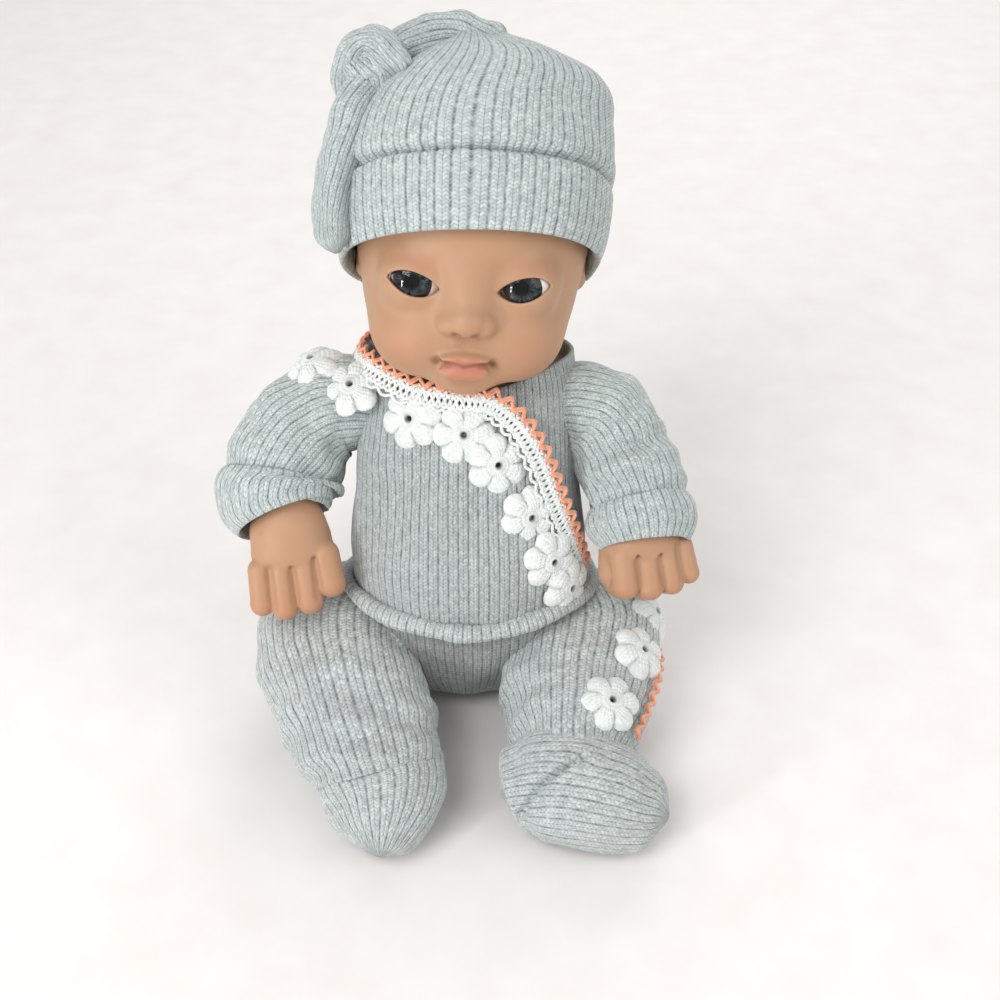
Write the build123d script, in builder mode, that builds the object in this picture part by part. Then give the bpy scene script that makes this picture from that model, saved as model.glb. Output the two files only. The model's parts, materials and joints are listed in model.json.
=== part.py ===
"""A seated, dressed vinyl baby doll with a sound module, as separate parts.

The floor is Z = 0 and the doll faces -Y, so its own left side is +X. The torso leans back, and the
torso plane carries that lean: its x runs to the doll's left, its y to the doll's back and its z up
along the spine, from the line between the hips.
"""

from build123d import *
from math import cos, radians, sin
import os

os.makedirs("parts", exist_ok=True)

# ---- Driving dimensions, in millimetres and degrees ----
LEAN = 18  # the spine leans back from upright
HIP_HEIGHT = 27  # hip line above the floor
WALL = 2.2  # moulded shell and vinyl wall
CLOTH_GAP = 0.6  # skin to the inside of the knit
KNIT = 1.8  # knit thickness
RUN = 0.06  # radial clearance of a turning fit
SIDES = {"left": 1, "right": -1}

HIP_X, HIP_PLANE = 40, 22.0  # centre of the thigh's root, and its flat inner face
SHOULDER_X, SHOULDER_PLANE, SHOULDER_UP = 46, 34.0, 88
HIP_RECESS, SHOULDER_RECESS = 22.0, 17.0  # swept radii that the torso leaves free
PLUGS = {"hip": (6.0, 9.0), "shoulder": (5.0, 7.4)}  # stem and flange radii
FLANGE_THICK, STEM_LENGTH = 1.8, 9.0

NECK_BACK = 1.0  # the neck's axis, behind the spine line
NECK_RADIUS, NECK_RING_RADIUS = 10.0, 15.0
NECK_RING_LOW, NECK_RING_HIGH = 106.6, 109.8

EYE_X, EYE_BACK, EYE_UP, EYE_RADIUS = 19.5, -28.0, 148.0, 11.5
IRIS_RADIUS, IRIS_SEAT, CUP_RIM = 7.4, 8.6, -3.0

AAA_RADIUS, AAA_LENGTH, CELL_PITCH = 5.25, 44.5, 11.2
BOX_HALF_WIDTH, BOX_LOW, BOX_HIGH, BOX_FRONT = 18.4, 16.0, 66.4, 6.5
BOX_WALL = 1.2
DOOR_HALF_WIDTH, DOOR_LOW, DOOR_HIGH, DOOR_GAP = 20.0, 6.0, 69.0, 0.3

BUTTON_UP, BUTTON_RADIUS, BUTTON_TRAVEL = 36.0, 11.0, 1.2
SPEAKER_UP, SPEAKER_RADIUS, SPEAKER_FRONT = 68.0, 15.5, -17.0
BOARD_FRONT, BOARD_THICK = 1.8, 1.6

WAIST_UP, WAIST_TILT = 25.0, 6.0
BRIM_TILT = 35.0

# Each section: height along the spine, half width, half depth, centre's distance to the back
TORSO_SECTIONS = [
    (-24, 20, 13, 5),
    (-16, 31, 21, 3),
    (0, 37, 28, 1),
    (22, 40.5, 32, -2),
    (45, 40.6, 30, -2),
    (68, 37.2, 26.5, 0),
    (86, 37, 23.5, 1),
    (98, 33, 20, 1),
    (104, 21, 16, 1),
]
HEAD_SECTIONS = [
    (105.6, 16.6, 17, 1),
    (107.6, 25, 27, -4),
    (112, 33, 35, -4),
    (120, 38.5, 40, -2),
    (132, 42, 43, 0),
    (150, 42.5, 44.5, 2),
    (168, 41, 43.5, 3),
    (184, 34.5, 37, 3),
    (196, 23, 25, 3),
    (203, 9, 10, 3),
]
# The cap's crown, square to the cap's own axis: height, half width, half depth, shift to the back
CROWN_SECTIONS = [
    (13, 50, 51, 0),
    (22, 51, 51.5, 0),
    (38, 48, 46, -4),
    (52, 37, 34, -9),
    (63, 20, 19, -14),
    (70, 9, 8.5, -17),
]
# Limb paths as (outward, back, up, radius) from the joint's centre, in the torso's directions
ARM_PATHS = {
    "left": [(0, 0, 0, 13), (15, -5, -20, 12), (19, -17, -37, 10), (25, -27, -48, 10)],
    "right": [(0, 0, 0, 13), (19, -5, -18, 12), (24, -17, -36, 10), (19, -27, -50, 11)],
}
SLEEVE_RADII = (15.4, 17.0, 17.0)  # at the shoulder, the elbow and the wrist
FINGERS = {"left": (0.45, -0.75, -0.50), "right": (-0.12, -0.45, -0.88)}
# Limb paths as (outward, forward, up, radius) from the hip's centre, in the floor's directions
LEG_PATHS = {
    "left": [(-2, 2, 0, 17), (4, 24, 2, 17), (1, 44, -2, 15), (-2, 61, -8, 12)],
    "right": [(-2, 2, 0, 17), (7, 24, 2, 17), (4, 44, -2, 15), (-5, 62, -8, 12)],
}
TROUSER_RADII = (19.8, 21.0, 20.5, 16.0)  # at the hip, the thigh, the knee and the ankle
BOOTIE_GROW = 3.0
FOOT_PATHS = {
    "left": [(-15, 67, -13, 12.5), (1, 74, -12, 14), (17, 81, -14, 12)],
    "right": [(-8, 67, -12, 13), (-12, 77, -12, 14), (-12, 88, -15, 10.5)],
}
BOOTIE_FORWARD, BOOTIE_SLOPE = 60, 0.3  # the seam between trouser leg and bootie

tilt = radians(LEAN)
torso = Plane(origin=(0, 0, HIP_HEIGHT), x_dir=(1, 0, 0), z_dir=(0, sin(tilt), cos(tilt)))
floor = Plane.XY


def spine(x, back, up):
    """The world point at these torso coordinates."""
    return torso.from_local_coords(Vector(x, back, up))


def facing(x, back, up, towards):
    """A plane at torso coordinates whose z points to the doll's "front", "back" or "side"."""
    directions = {"front": -torso.y_dir, "back": torso.y_dir, "side": torso.x_dir}
    x_dir = torso.z_dir if towards == "side" else torso.x_dir
    return Plane(origin=spine(x, back, up), x_dir=x_dir, z_dir=directions[towards])


def export(part, name):
    part.label = name
    export_step(part, f"parts/{name}.step")


# ---- Forms that several parts share ----
def lofted(sections, grow, base=torso):
    """A loft through elliptical sections, every one grown outward."""
    last = len(sections) - 1
    with BuildPart() as form:
        for index, (height, half_width, half_depth, shift) in enumerate(sections):
            end = {0: -grow, last: grow}.get(index, 0)
            with BuildSketch(base.offset(height + end)):
                with Locations((0, shift)):
                    Ellipse(half_width + grow, half_depth + grow)
        loft()
    return form.part


def limb(points, grow):
    """A round limb along (point, radius) pairs, with domed ends."""
    rounds = []
    first, second = points[0][0], points[1][0]
    start = (first - second).normalized()
    end = (points[-1][0] - points[-2][0]).normalized()
    for share, narrow in ((0.93, 0.36), (0.6, 0.8)):
        radius = points[0][1] + grow
        rounds.append((first + start * (radius * share), radius * narrow, -start))
    for index, (point, radius) in enumerate(points):
        before, after = points[max(index - 1, 0)][0], points[min(index + 1, len(points) - 1)][0]
        rounds.append((point, radius + grow, (after - before).normalized()))
    for share, narrow in ((0.6, 0.8), (0.93, 0.36)):
        radius = points[-1][1] + grow
        rounds.append((points[-1][0] + end * (radius * share), radius * narrow, end))
    with BuildPart() as form:
        for centre, radius, direction in rounds:
            across = Vector(1, 0, 0) - direction * direction.X
            with BuildSketch(Plane(origin=centre, x_dir=across, z_dir=direction)):
                Circle(radius)
        loft()
    return form.part


def arm_points(side):
    centre = Vector(SIDES[side] * SHOULDER_X, 0, SHOULDER_UP)
    return [
        (spine(centre.X + SIDES[side] * out, back, centre.Z + up), radius)
        for out, back, up, radius in ARM_PATHS[side]
    ]


def leg_points(side, path):
    return [
        (Vector(SIDES[side] * (HIP_X + out), -forward, HIP_HEIGHT + up), radius)
        for out, forward, up, radius in path
    ]


def leg_form(side, grow):
    """A leg and its foot, grown outward."""
    with BuildPart() as form:
        add(limb(leg_points(side, LEG_PATHS[side]), grow))
        add(limb(leg_points(side, FOOT_PATHS[side]), grow))
    return form.part


def trouser_form(side):
    """The outside of a trouser leg and its bootie, wider than the leg inside."""
    bare = leg_points(side, LEG_PATHS[side])
    with BuildPart() as form:
        add(limb([(point, radius) for (point, _), radius in zip(bare, TROUSER_RADII)], 0))
        add(limb(leg_points(side, FOOT_PATHS[side]), BOOTIE_GROW))
    return form.part


def disc(plane, radius, height):
    """A cylinder from the plane along its z."""
    with BuildPart() as form:
        with BuildSketch(plane):
            Circle(radius)
        extrude(amount=height)
    return form.part


def block(plane, width, depth, height):
    """A box from the plane along its z, centred on the plane's origin."""
    with BuildPart() as form:
        with BuildSketch(plane):
            Rectangle(width, depth)
        extrude(amount=height)
    return form.part


def hip_sweep(side, grow=0.0):
    """The space beside the pelvis that the thigh sweeps as it turns, grown towards the pelvis."""
    reach, start = HIP_RECESS + grow, HIP_PLANE - 0.4 - grow
    plane = facing(SIDES[side] * start, 0, 0, "side")
    with BuildPart() as sweep_space:
        with BuildSketch(plane):
            Circle(reach)
            with BuildLine():
                Polyline((reach, 0), (reach, 70), (-70, 70), (-70, -reach), (0, -reach), close=True)
            make_face()
        extrude(amount=SIDES[side] * 60)
    return sweep_space.part


def shoulder_sweep(side, grow=0.0):
    """The space beside the chest that the arm's root turns in, grown towards the chest."""
    start = SHOULDER_PLANE - 0.6 - grow
    plane = facing(SIDES[side] * start, 0, SHOULDER_UP, "side")
    return disc(plane, SHOULDER_RECESS + grow, SIDES[side] * 40)


def moulded_torso(grow):
    """The torso's form with the room its limbs turn in taken out."""
    solid = lofted(TORSO_SECTIONS, grow)
    with BuildPart() as form:
        add(solid)
        for side in SIDES:
            add(hip_sweep(side, -grow), mode=Mode.SUBTRACT)
            add(shoulder_sweep(side, -grow), mode=Mode.SUBTRACT)
    return form.part


floor_slab = block(floor, 400, 400, -60)
knit_slab = block(floor.offset(KNIT), 400, 400, -60)
seat_slab = block(floor.offset(KNIT + CLOTH_GAP), 400, 400, -60)
rear_half = block(facing(0, 0.05, 40, "back"), 200, 300, 100)
front_half = block(facing(0, -0.05, 40, "front"), 200, 300, 100)

torso_skin = moulded_torso(0)
torso_hollow = moulded_torso(-WALL)
cavity_limit = moulded_torso(-WALL - 0.15)
wall_limit = moulded_torso(-0.8)

# ---- Torso shells ----
SCREW_PLACES = [(28, 34), (27, 70), (-27, 70), (-28, 34)]
SCREW_SHANK, SCREW_HEAD, SCREW_SEAT, SCREW_END = 1.4, 2.6, 12.0, -9.0
BOSS_RADIUS = 3.6
neck_hole = disc(torso.offset(95), NECK_RADIUS + 0.3, 20)
neck_hole = neck_hole.moved(Location(torso.y_dir * NECK_BACK))

with BuildPart() as torso_shell:
    add(torso_skin)
    add(torso_hollow, mode=Mode.SUBTRACT)
    for x, up in SCREW_PLACES:
        add(disc(facing(x, -26, up, "back"), BOSS_RADIUS, 48) & wall_limit)
    add(seat_slab, mode=Mode.SUBTRACT)
    add(neck_hole, mode=Mode.SUBTRACT)
    for side, sign in SIDES.items():
        hip_hole = facing(sign * (HIP_PLANE - 6), 0, 0, "side")
        shoulder_hole = facing(sign * (SHOULDER_PLANE - 6), 0, SHOULDER_UP, "side")
        add(disc(hip_hole, PLUGS["hip"][0] + RUN, sign * 8), mode=Mode.SUBTRACT)
        add(disc(shoulder_hole, PLUGS["shoulder"][0] + RUN, sign * 8), mode=Mode.SUBTRACT)
    for x, up in SCREW_PLACES:
        add(disc(facing(x, 0, up, "back"), SCREW_SHANK + 0.2, 30), mode=Mode.SUBTRACT)
        add(disc(facing(x, 0.1, up, "front"), SCREW_SHANK + 0.03, 10), mode=Mode.SUBTRACT)
        add(disc(facing(x, SCREW_SEAT, up, "back"), SCREW_HEAD + 0.3, 30), mode=Mode.SUBTRACT)

GRILLE_PITCH = 3.6
with BuildPart() as torso_front:
    add(torso_shell.part & front_half)
    with BuildSketch(facing(0, -12, SPEAKER_UP, "front")):
        with HexLocations(radius=GRILLE_PITCH / 2, x_count=5, y_count=5):
            Circle(0.9)
    extrude(amount=40, mode=Mode.SUBTRACT)
    add(disc(facing(0, -20, BUTTON_UP, "front"), BUTTON_RADIUS + 0.1, 30), mode=Mode.SUBTRACT)
export(torso_front.part, "torso_front_shell")

door_up, door_tall = (DOOR_LOW + DOOR_HIGH) / 2, DOOR_HIGH - DOOR_LOW
SWITCH_X, SWITCH_UP, SWITCH_TRAVEL = 26.0, 52.0, 2.0
with BuildPart() as torso_rear:
    add(torso_shell.part & rear_half)
    with BuildSketch(facing(0, 8, door_up, "back")):
        RectangleRounded(2 * DOOR_HALF_WIDTH, door_tall, 4)
    extrude(amount=40, mode=Mode.SUBTRACT)
    with BuildSketch(facing(SWITCH_X, 8, SWITCH_UP, "back")):
        Rectangle(3.6, 3.6 + 2 * SWITCH_TRAVEL)
    extrude(amount=40, mode=Mode.SUBTRACT)
export(torso_rear.part, "torso_rear_shell")

with BuildPart() as torso_screws:
    for x, up in SCREW_PLACES:
        with BuildSketch(facing(x, SCREW_END, up, "back")):
            Circle(SCREW_SHANK)
        extrude(amount=SCREW_SEAT - SCREW_END + 0.5)
        with BuildSketch(facing(x, SCREW_SEAT + 0.05, up, "back")):
            Circle(SCREW_HEAD)
        extrude(amount=2)
        with BuildSketch(facing(x, SCREW_SEAT + 2.05, up, "back")):
            Rectangle(3, 0.7)
            Rectangle(0.7, 3)
        extrude(amount=-1, mode=Mode.SUBTRACT)
export(torso_screws.part, "torso_screws")

# ---- Battery compartment ----
DOOR_SCREW_UP, DOOR_SCREW_BACK = 11.0, 25.0
box_up, box_tall = (BOX_LOW + BOX_HIGH) / 2, BOX_HIGH - BOX_LOW
with BuildPart() as battery_box:
    add(block(facing(0, BOX_FRONT, box_up, "back"), 2 * BOX_HALF_WIDTH, box_tall, 40) & cavity_limit)
    with BuildSketch(facing(0, BOX_FRONT + BOX_WALL, box_up, "back")):
        Rectangle(2 * (BOX_HALF_WIDTH - BOX_WALL), box_tall - 2 * BOX_WALL)
    extrude(amount=40, mode=Mode.SUBTRACT)
    add(disc(facing(0, BOX_FRONT, DOOR_SCREW_UP, "back"), 5.2, DOOR_SCREW_BACK - BOX_FRONT))
    with BuildSketch(facing(0, BOX_FRONT + 3, DOOR_SCREW_UP, "back")):
        Circle(1.35)
    extrude(amount=40, mode=Mode.SUBTRACT)
export(battery_box.part, "battery_box")

CELL_BACK = BOX_FRONT + BOX_WALL + AAA_RADIUS + 0.2
CELL_LOW = BOX_LOW + BOX_WALL + 0.7
SPRING_ROOM = 2.0
NUB_RADIUS, NUB_HEIGHT = 1.9, 0.9
CELL_TURNS = {-CELL_PITCH: False, 0: True, CELL_PITCH: False}  # x place: stands with its nub down
with BuildPart() as batteries:
    for x, nub_down in CELL_TURNS.items():
        low = CELL_LOW if nub_down else CELL_LOW + SPRING_ROOM
        can = low + NUB_HEIGHT if nub_down else low
        with BuildSketch(torso.offset(can)):
            with Locations((x, CELL_BACK)):
                Circle(AAA_RADIUS)
        extrude(amount=AAA_LENGTH - NUB_HEIGHT)
        with BuildSketch(torso.offset(low if nub_down else low + AAA_LENGTH - NUB_HEIGHT)):
            with Locations((x, CELL_BACK)):
                Circle(NUB_RADIUS)
        extrude(amount=NUB_HEIGHT)
export(batteries.part, "batteries")

PLATE_THICK = 0.4
with BuildPart() as battery_contacts:
    for level in (BOX_LOW + BOX_WALL + 0.05, BOX_HIGH - BOX_WALL - PLATE_THICK - 0.05):
        for x in CELL_TURNS:
            with BuildSketch(torso.offset(level)):
                with Locations((x, CELL_BACK)):
                    Rectangle(9, 9)
            extrude(amount=PLATE_THICK)
export(battery_contacts.part, "battery_contacts")

COIL_RADIUS, COIL_WIRE, COIL_PITCH, COIL_TURNS = 2.8, 0.3, 0.55, 3  # each turn is a closed ring
with BuildPart() as battery_springs:
    for x, nub_down in CELL_TURNS.items():
        foot = CELL_LOW + AAA_LENGTH + 0.4 if nub_down else CELL_LOW + 0.05
        start = spine(x, CELL_BACK, foot + COIL_WIRE)
        with BuildSketch(Plane(origin=start, x_dir=(1, 0, 0), z_dir=-torso.y_dir)):
            for turn in range(COIL_TURNS):
                with Locations((COIL_RADIUS, turn * COIL_PITCH)):
                    Circle(COIL_WIRE)
        revolve(axis=Axis(start, torso.z_dir))
export(battery_springs.part, "battery_springs")

door_form = torso_skin & rear_half
with BuildPart() as battery_door:
    with BuildSketch(facing(0, 8, door_up, "back")):
        RectangleRounded(2 * (DOOR_HALF_WIDTH - DOOR_GAP), door_tall - 2 * DOOR_GAP, 3.7)
    extrude(amount=40)
    add(door_form, mode=Mode.INTERSECT)
    add(lofted(TORSO_SECTIONS, -WALL + 0.1), mode=Mode.SUBTRACT)
    add(disc(facing(0, 20, DOOR_SCREW_UP, "back"), 1.5, 20), mode=Mode.SUBTRACT)
    add(disc(facing(0, 27.6, DOOR_SCREW_UP, "back"), 2.8, 20), mode=Mode.SUBTRACT)
export(battery_door.part, "battery_door")

with BuildPart() as door_screw:
    with BuildSketch(facing(0, 13, DOOR_SCREW_UP, "back")):
        Circle(1.3)
    extrude(amount=14.7)
    with BuildSketch(facing(0, 27.7, DOOR_SCREW_UP, "back")):
        Circle(2.5)
    extrude(amount=0.9)
export(door_screw.part, "battery_door_screw")

# ---- Sound module ----
with BuildPart() as circuit_board:
    with BuildSketch(facing(0, BOARD_FRONT, 48, "back")):
        RectangleRounded(32, 40, 1.5)
        with GridLocations(26, 34, 2, 2):
            Circle(1.2, mode=Mode.SUBTRACT)
    extrude(amount=BOARD_THICK)
export(circuit_board.part, "circuit_board")

with BuildPart() as sound_chip:
    with BuildSketch(facing(5, BOARD_FRONT - 0.05, 42, "front")):
        RectangleRounded(9, 9, 1)
    extrude(amount=1.4)
    chamfer(sound_chip.faces().sort_by(Axis(spine(0, 0, 0), -torso.y_dir))[-1].edges(), 0.3)
export(sound_chip.part, "sound_chip")

with BuildPart() as capacitors:
    for x in (-10, -3):
        with BuildSketch(facing(x, BOARD_FRONT - 0.05, 42, "front")):
            Circle(2.5)
        extrude(amount=5.5)
export(capacitors.part, "capacitors")

with BuildPart() as speaker_frame:
    with BuildSketch(facing(0, SPEAKER_FRONT, SPEAKER_UP, "back")):
        Circle(SPEAKER_RADIUS)
        Circle(SPEAKER_RADIUS - 2.5, mode=Mode.SUBTRACT)
    extrude(amount=1.2)
    with BuildSketch(facing(0, SPEAKER_FRONT + 1.2, SPEAKER_UP, "back")):
        Circle(SPEAKER_RADIUS - 2)
    with BuildSketch(facing(0, SPEAKER_FRONT + 6, SPEAKER_UP, "back")):
        Circle(9.5)
    loft()
    with BuildSketch(facing(0, SPEAKER_FRONT + 1.2, SPEAKER_UP, "back")):
        Circle(SPEAKER_RADIUS - 3)
    with BuildSketch(facing(0, SPEAKER_FRONT + 5, SPEAKER_UP, "back")):
        Circle(8.5)
    loft(mode=Mode.SUBTRACT)
export(speaker_frame.part, "speaker_frame")

with BuildPart() as speaker_cone:
    with BuildSketch(facing(0, SPEAKER_FRONT + 0.2, SPEAKER_UP, "back")):
        Circle(SPEAKER_RADIUS - 2.6)
    with BuildSketch(facing(0, SPEAKER_FRONT + 4.6, SPEAKER_UP, "back")):
        Circle(4)
    loft()
    with BuildSketch(facing(0, SPEAKER_FRONT - 0.4, SPEAKER_UP, "back")):
        Circle(SPEAKER_RADIUS - 2.8)
    with BuildSketch(facing(0, SPEAKER_FRONT + 4, SPEAKER_UP, "back")):
        Circle(3.4)
    loft(mode=Mode.SUBTRACT)
export(speaker_cone.part, "speaker_cone")

export(disc(facing(0, SPEAKER_FRONT + 6.05, SPEAKER_UP, "back"), 8, 4), "speaker_magnet")

with BuildPart() as speaker_gasket:
    with BuildSketch(facing(0, SPEAKER_FRONT - 0.05, SPEAKER_UP, "front")):
        Circle(SPEAKER_RADIUS)
        Circle(SPEAKER_RADIUS - 2.5, mode=Mode.SUBTRACT)
    extrude(amount=20)
    add(cavity_limit, mode=Mode.INTERSECT)
export(speaker_gasket.part, "speaker_gasket")

# ---- Tummy button ----
BUTTON_BACK, STEM_RADIUS, STEM_END = -27.4, 2.4, -21.6
with BuildPart() as tummy_button:
    add(disc(facing(0, BUTTON_BACK, BUTTON_UP, "front"), BUTTON_RADIUS, 20) & torso_skin)
    with BuildSketch(facing(0, BUTTON_BACK - 1.0, BUTTON_UP, "front")):
        Circle(BUTTON_RADIUS - WALL)
    extrude(amount=2.4, mode=Mode.SUBTRACT)
    with BuildSketch(facing(0, BUTTON_BACK, BUTTON_UP, "back")):
        Circle(BUTTON_RADIUS + 1.6)
    extrude(amount=1.2)
    with BuildSketch(facing(0, BUTTON_BACK - 5, BUTTON_UP, "back")):
        Circle(STEM_RADIUS)
    extrude(amount=STEM_END - BUTTON_BACK + 5)
export(tummy_button.part, "tummy_button")

SWITCH_FRONT = STEM_END + BUTTON_TRAVEL + 0.1
with BuildPart() as tact_switch:
    with BuildSketch(facing(0, SWITCH_FRONT, BUTTON_UP, "back")):
        Circle(1.7)
    extrude(amount=1.2)
    with BuildSketch(facing(0, SWITCH_FRONT + 1.2, BUTTON_UP, "back")):
        Rectangle(6, 6)
    extrude(amount=3.4)
export(tact_switch.part, "tact_switch")

BRACKET_BACK = SWITCH_FRONT + 4.65
with BuildPart() as switch_bracket:
    with BuildSketch(facing(0, BRACKET_BACK, BUTTON_UP, "back")):
        RectangleRounded(38, 12, 2)
    extrude(amount=1.4)
    for x in (-16.2, 16.2):
        add(disc(facing(x, BRACKET_BACK + 1, BUTTON_UP, "front"), 1.9, 20) & cavity_limit)
export(switch_bracket.part, "switch_bracket")

SPRING_RADIUS, SPRING_WIRE, SPRING_HEIGHT = 5.4, 0.3, 8.2
with BuildPart() as button_spring:
    with BuildLine() as spring_path:
        start = spine(0, BRACKET_BACK - SPRING_WIRE - 0.05, BUTTON_UP)
        Helix(1.9, SPRING_HEIGHT, SPRING_RADIUS, center=start, direction=-torso.y_dir)
    with BuildSketch(Plane(spring_path.line @ 0, z_dir=spring_path.line % 0)):
        Circle(SPRING_WIRE)
    sweep(path=spring_path.line)
export(button_spring.part, "button_spring")

# ---- Power switch ----
export(block(facing(SWITCH_X, 8.6, SWITCH_UP, "back"), 5, 12, 4), "power_switch")
with BuildPart() as switch_knob:
    with BuildSketch(facing(SWITCH_X, 12.7, SWITCH_UP - SWITCH_TRAVEL, "back")):
        Rectangle(3, 3)
    extrude(amount=5.4)
export(switch_knob.part, "power_switch_knob")

# ---- Wiring: from the speaker and the cells to the board ----
WIRE = 0.55
WIRE_RUNS = [
    [(-4, -6.6, 62), (-6, -3, 58), (-8, 1.1, 54)],
    [(4, -6.6, 62), (8, -3, 60), (11, 1.1, 54)],
    [(15.2, 4.2, 34), (12, 5.3, 24), (8, 5.5, 17.4)],
    [(-15.2, 4.2, 34), (-12, 5.3, 24), (-8, 5.5, 17.4)],
]
with BuildPart() as wiring:
    for run in WIRE_RUNS:
        with BuildLine() as wire_path:
            Spline(*[spine(*point) for point in run])
        with BuildSketch(Plane(wire_path.line @ 0, z_dir=wire_path.line % 0)):
            Circle(WIRE)
        sweep(path=wire_path.line)
export(wiring.part, "wiring")

# ---- Neck ----
neck = Plane(origin=spine(0, NECK_BACK, 0), x_dir=torso.x_dir, z_dir=torso.z_dir)
with BuildPart() as neck_post:
    for low, high, radius in (
        (94.5, 97.0, NECK_RADIUS + 3),
        (97.0, NECK_RING_HIGH + 0.1, NECK_RADIUS),
        (NECK_RING_HIGH + 0.1, NECK_RING_HIGH + 2.1, NECK_RADIUS + 3),
    ):
        with BuildSketch(neck.offset(low)):
            Circle(radius)
        extrude(amount=high - low)
export(neck_post.part, "neck_post")

with BuildPart() as neck_ring:
    with BuildSketch(neck.offset(NECK_RING_LOW)):
        Circle(NECK_RING_RADIUS)
        Circle(NECK_RADIUS + RUN, mode=Mode.SUBTRACT)
    extrude(amount=NECK_RING_HIGH - NECK_RING_LOW)
export(neck_ring.part, "neck_ring")

# ---- Head ----
head_skin, head_hollow = lofted(HEAD_SECTIONS, 0), lofted(HEAD_SECTIONS[1:], -WALL)
with BuildPart() as head_shell:
    add(head_skin)
    with Locations(Location(spine(0, -43.5, 134))):
        Sphere(5.2)
    add(head_hollow, mode=Mode.SUBTRACT)
    with BuildSketch(neck.offset(100)):
        Circle(NECK_RING_RADIUS + 0.05)
    extrude(amount=14, mode=Mode.SUBTRACT)
    for sign in SIDES.values():
        eye = facing(sign * EYE_X, EYE_BACK, EYE_UP, "front")
        add(disc(eye.offset(CUP_RIM + 0.1), EYE_RADIUS + 1.7, -16), mode=Mode.SUBTRACT)
        add(disc(eye.offset(CUP_RIM), EYE_RADIUS + 0.1, 33), mode=Mode.SUBTRACT)
head_body = max(head_shell.part.solids(), key=lambda solid: solid.volume)
export(Part(head_body.wrapped), "head_shell")

for side, sign in SIDES.items():
    eye = facing(sign * EYE_X, EYE_BACK, EYE_UP, "front")
    with BuildPart() as eyeball:
        with Locations(eye):
            Sphere(EYE_RADIUS)
        with BuildSketch(eye.offset(IRIS_SEAT)):
            Circle(EYE_RADIUS)
        extrude(amount=6, mode=Mode.SUBTRACT)
    export(eyeball.part, f"{side}_eyeball")
    export(disc(eye.offset(IRIS_SEAT + 0.02), IRIS_RADIUS, 0.5), f"{side}_iris")
    with BuildPart() as cornea:
        with Locations(eye):
            Sphere(EYE_RADIUS - 0.05)
        with BuildSketch(eye.offset(IRIS_SEAT + 0.55)):
            Circle(EYE_RADIUS)
        extrude(amount=-30, mode=Mode.SUBTRACT)
    export(cornea.part, f"{side}_cornea")
    with BuildPart() as eye_cup:
        with Locations(eye):
            Sphere(EYE_RADIUS + 1.6)
            Sphere(EYE_RADIUS + 0.1, mode=Mode.SUBTRACT)
        with BuildSketch(eye.offset(CUP_RIM)):
            Circle(EYE_RADIUS + 3)
        extrude(amount=30, mode=Mode.SUBTRACT)
        with BuildSketch(eye.offset(-EYE_RADIUS - 3)):
            Circle(3.5)
        extrude(amount=8, mode=Mode.SUBTRACT)
    export(eye_cup.part, f"{side}_eye_cup")

# ---- Cap: a turned-up cuff, a crown drawn up to a point, and the knotted tail ----
brim_turn = radians(BRIM_TILT + LEAN)
cap = Plane(origin=spine(0, 2, 157), x_dir=(1, 0, 0), z_dir=(0, sin(brim_turn), cos(brim_turn)))
BRIM_LOW, SEAM = -16.0, 14.0
above_brim, above_seam = (block(cap.offset(low), 300, 300, 120) for low in (BRIM_LOW, SEAM))
below_seam = block(cap.offset(SEAM - 0.2), 300, 300, -120)
head_room = lofted(HEAD_SECTIONS, 0.9)

with BuildPart() as cap_cuff:
    with BuildSketch(cap.offset(BRIM_LOW)):
        Ellipse(47.5, 48)
    with BuildSketch(cap.offset(0)):
        Ellipse(49.5, 50)
    with BuildSketch(cap.offset(SEAM - 0.2)):
        Ellipse(49.3, 49.8)
    loft()
    add(head_room, mode=Mode.SUBTRACT)
    for sign in SIDES.values():
        with Locations(Location(spine(sign * 41, 8, 140))):
            Sphere(7.5, mode=Mode.SUBTRACT)
export(cap_cuff.part, "cap_cuff")

crown_hollow = lofted([(h - 1, w, d, s) for h, w, d, s in CROWN_SECTIONS[:-1]], -KNIT - 0.8, cap)
with BuildPart() as cap_crown:
    add(lofted(CROWN_SECTIONS, 0, cap) & above_seam)
    add(crown_hollow, mode=Mode.SUBTRACT)
    add(head_room, mode=Mode.SUBTRACT)
export(max(cap_crown.part.solids(), key=lambda solid: solid.volume), "cap_crown")

KNOT = (-36, 6, 212)
crown_room = lofted(CROWN_SECTIONS, 0.4, cap)
with BuildPart() as cap_knot:
    with Locations(Location(spine(*KNOT))):
        Sphere(13)
    add(crown_room, mode=Mode.SUBTRACT)
export(max(cap_knot.part.solids(), key=lambda solid: solid.volume), "cap_knot")

TAIL = [((-44, 0, 198), 8.5), ((-52, -7, 184), 8.5), ((-55.5, -13, 168), 7.5), ((-53, -17, 154), 5)]
tail_form = limb([(spine(*place), radius) for place, radius in TAIL], 0)
with BuildPart() as cap_tail:
    add(tail_form)
    add(crown_room, mode=Mode.SUBTRACT)
    with BuildSketch(cap.offset(BRIM_LOW - 4)):
        Ellipse(49.9, 50.4)
    extrude(amount=40, mode=Mode.SUBTRACT)
    with Locations(Location(spine(*KNOT))):
        Sphere(13.2, mode=Mode.SUBTRACT)
export(max(cap_tail.part.solids(), key=lambda solid: solid.volume), "cap_tail")


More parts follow.
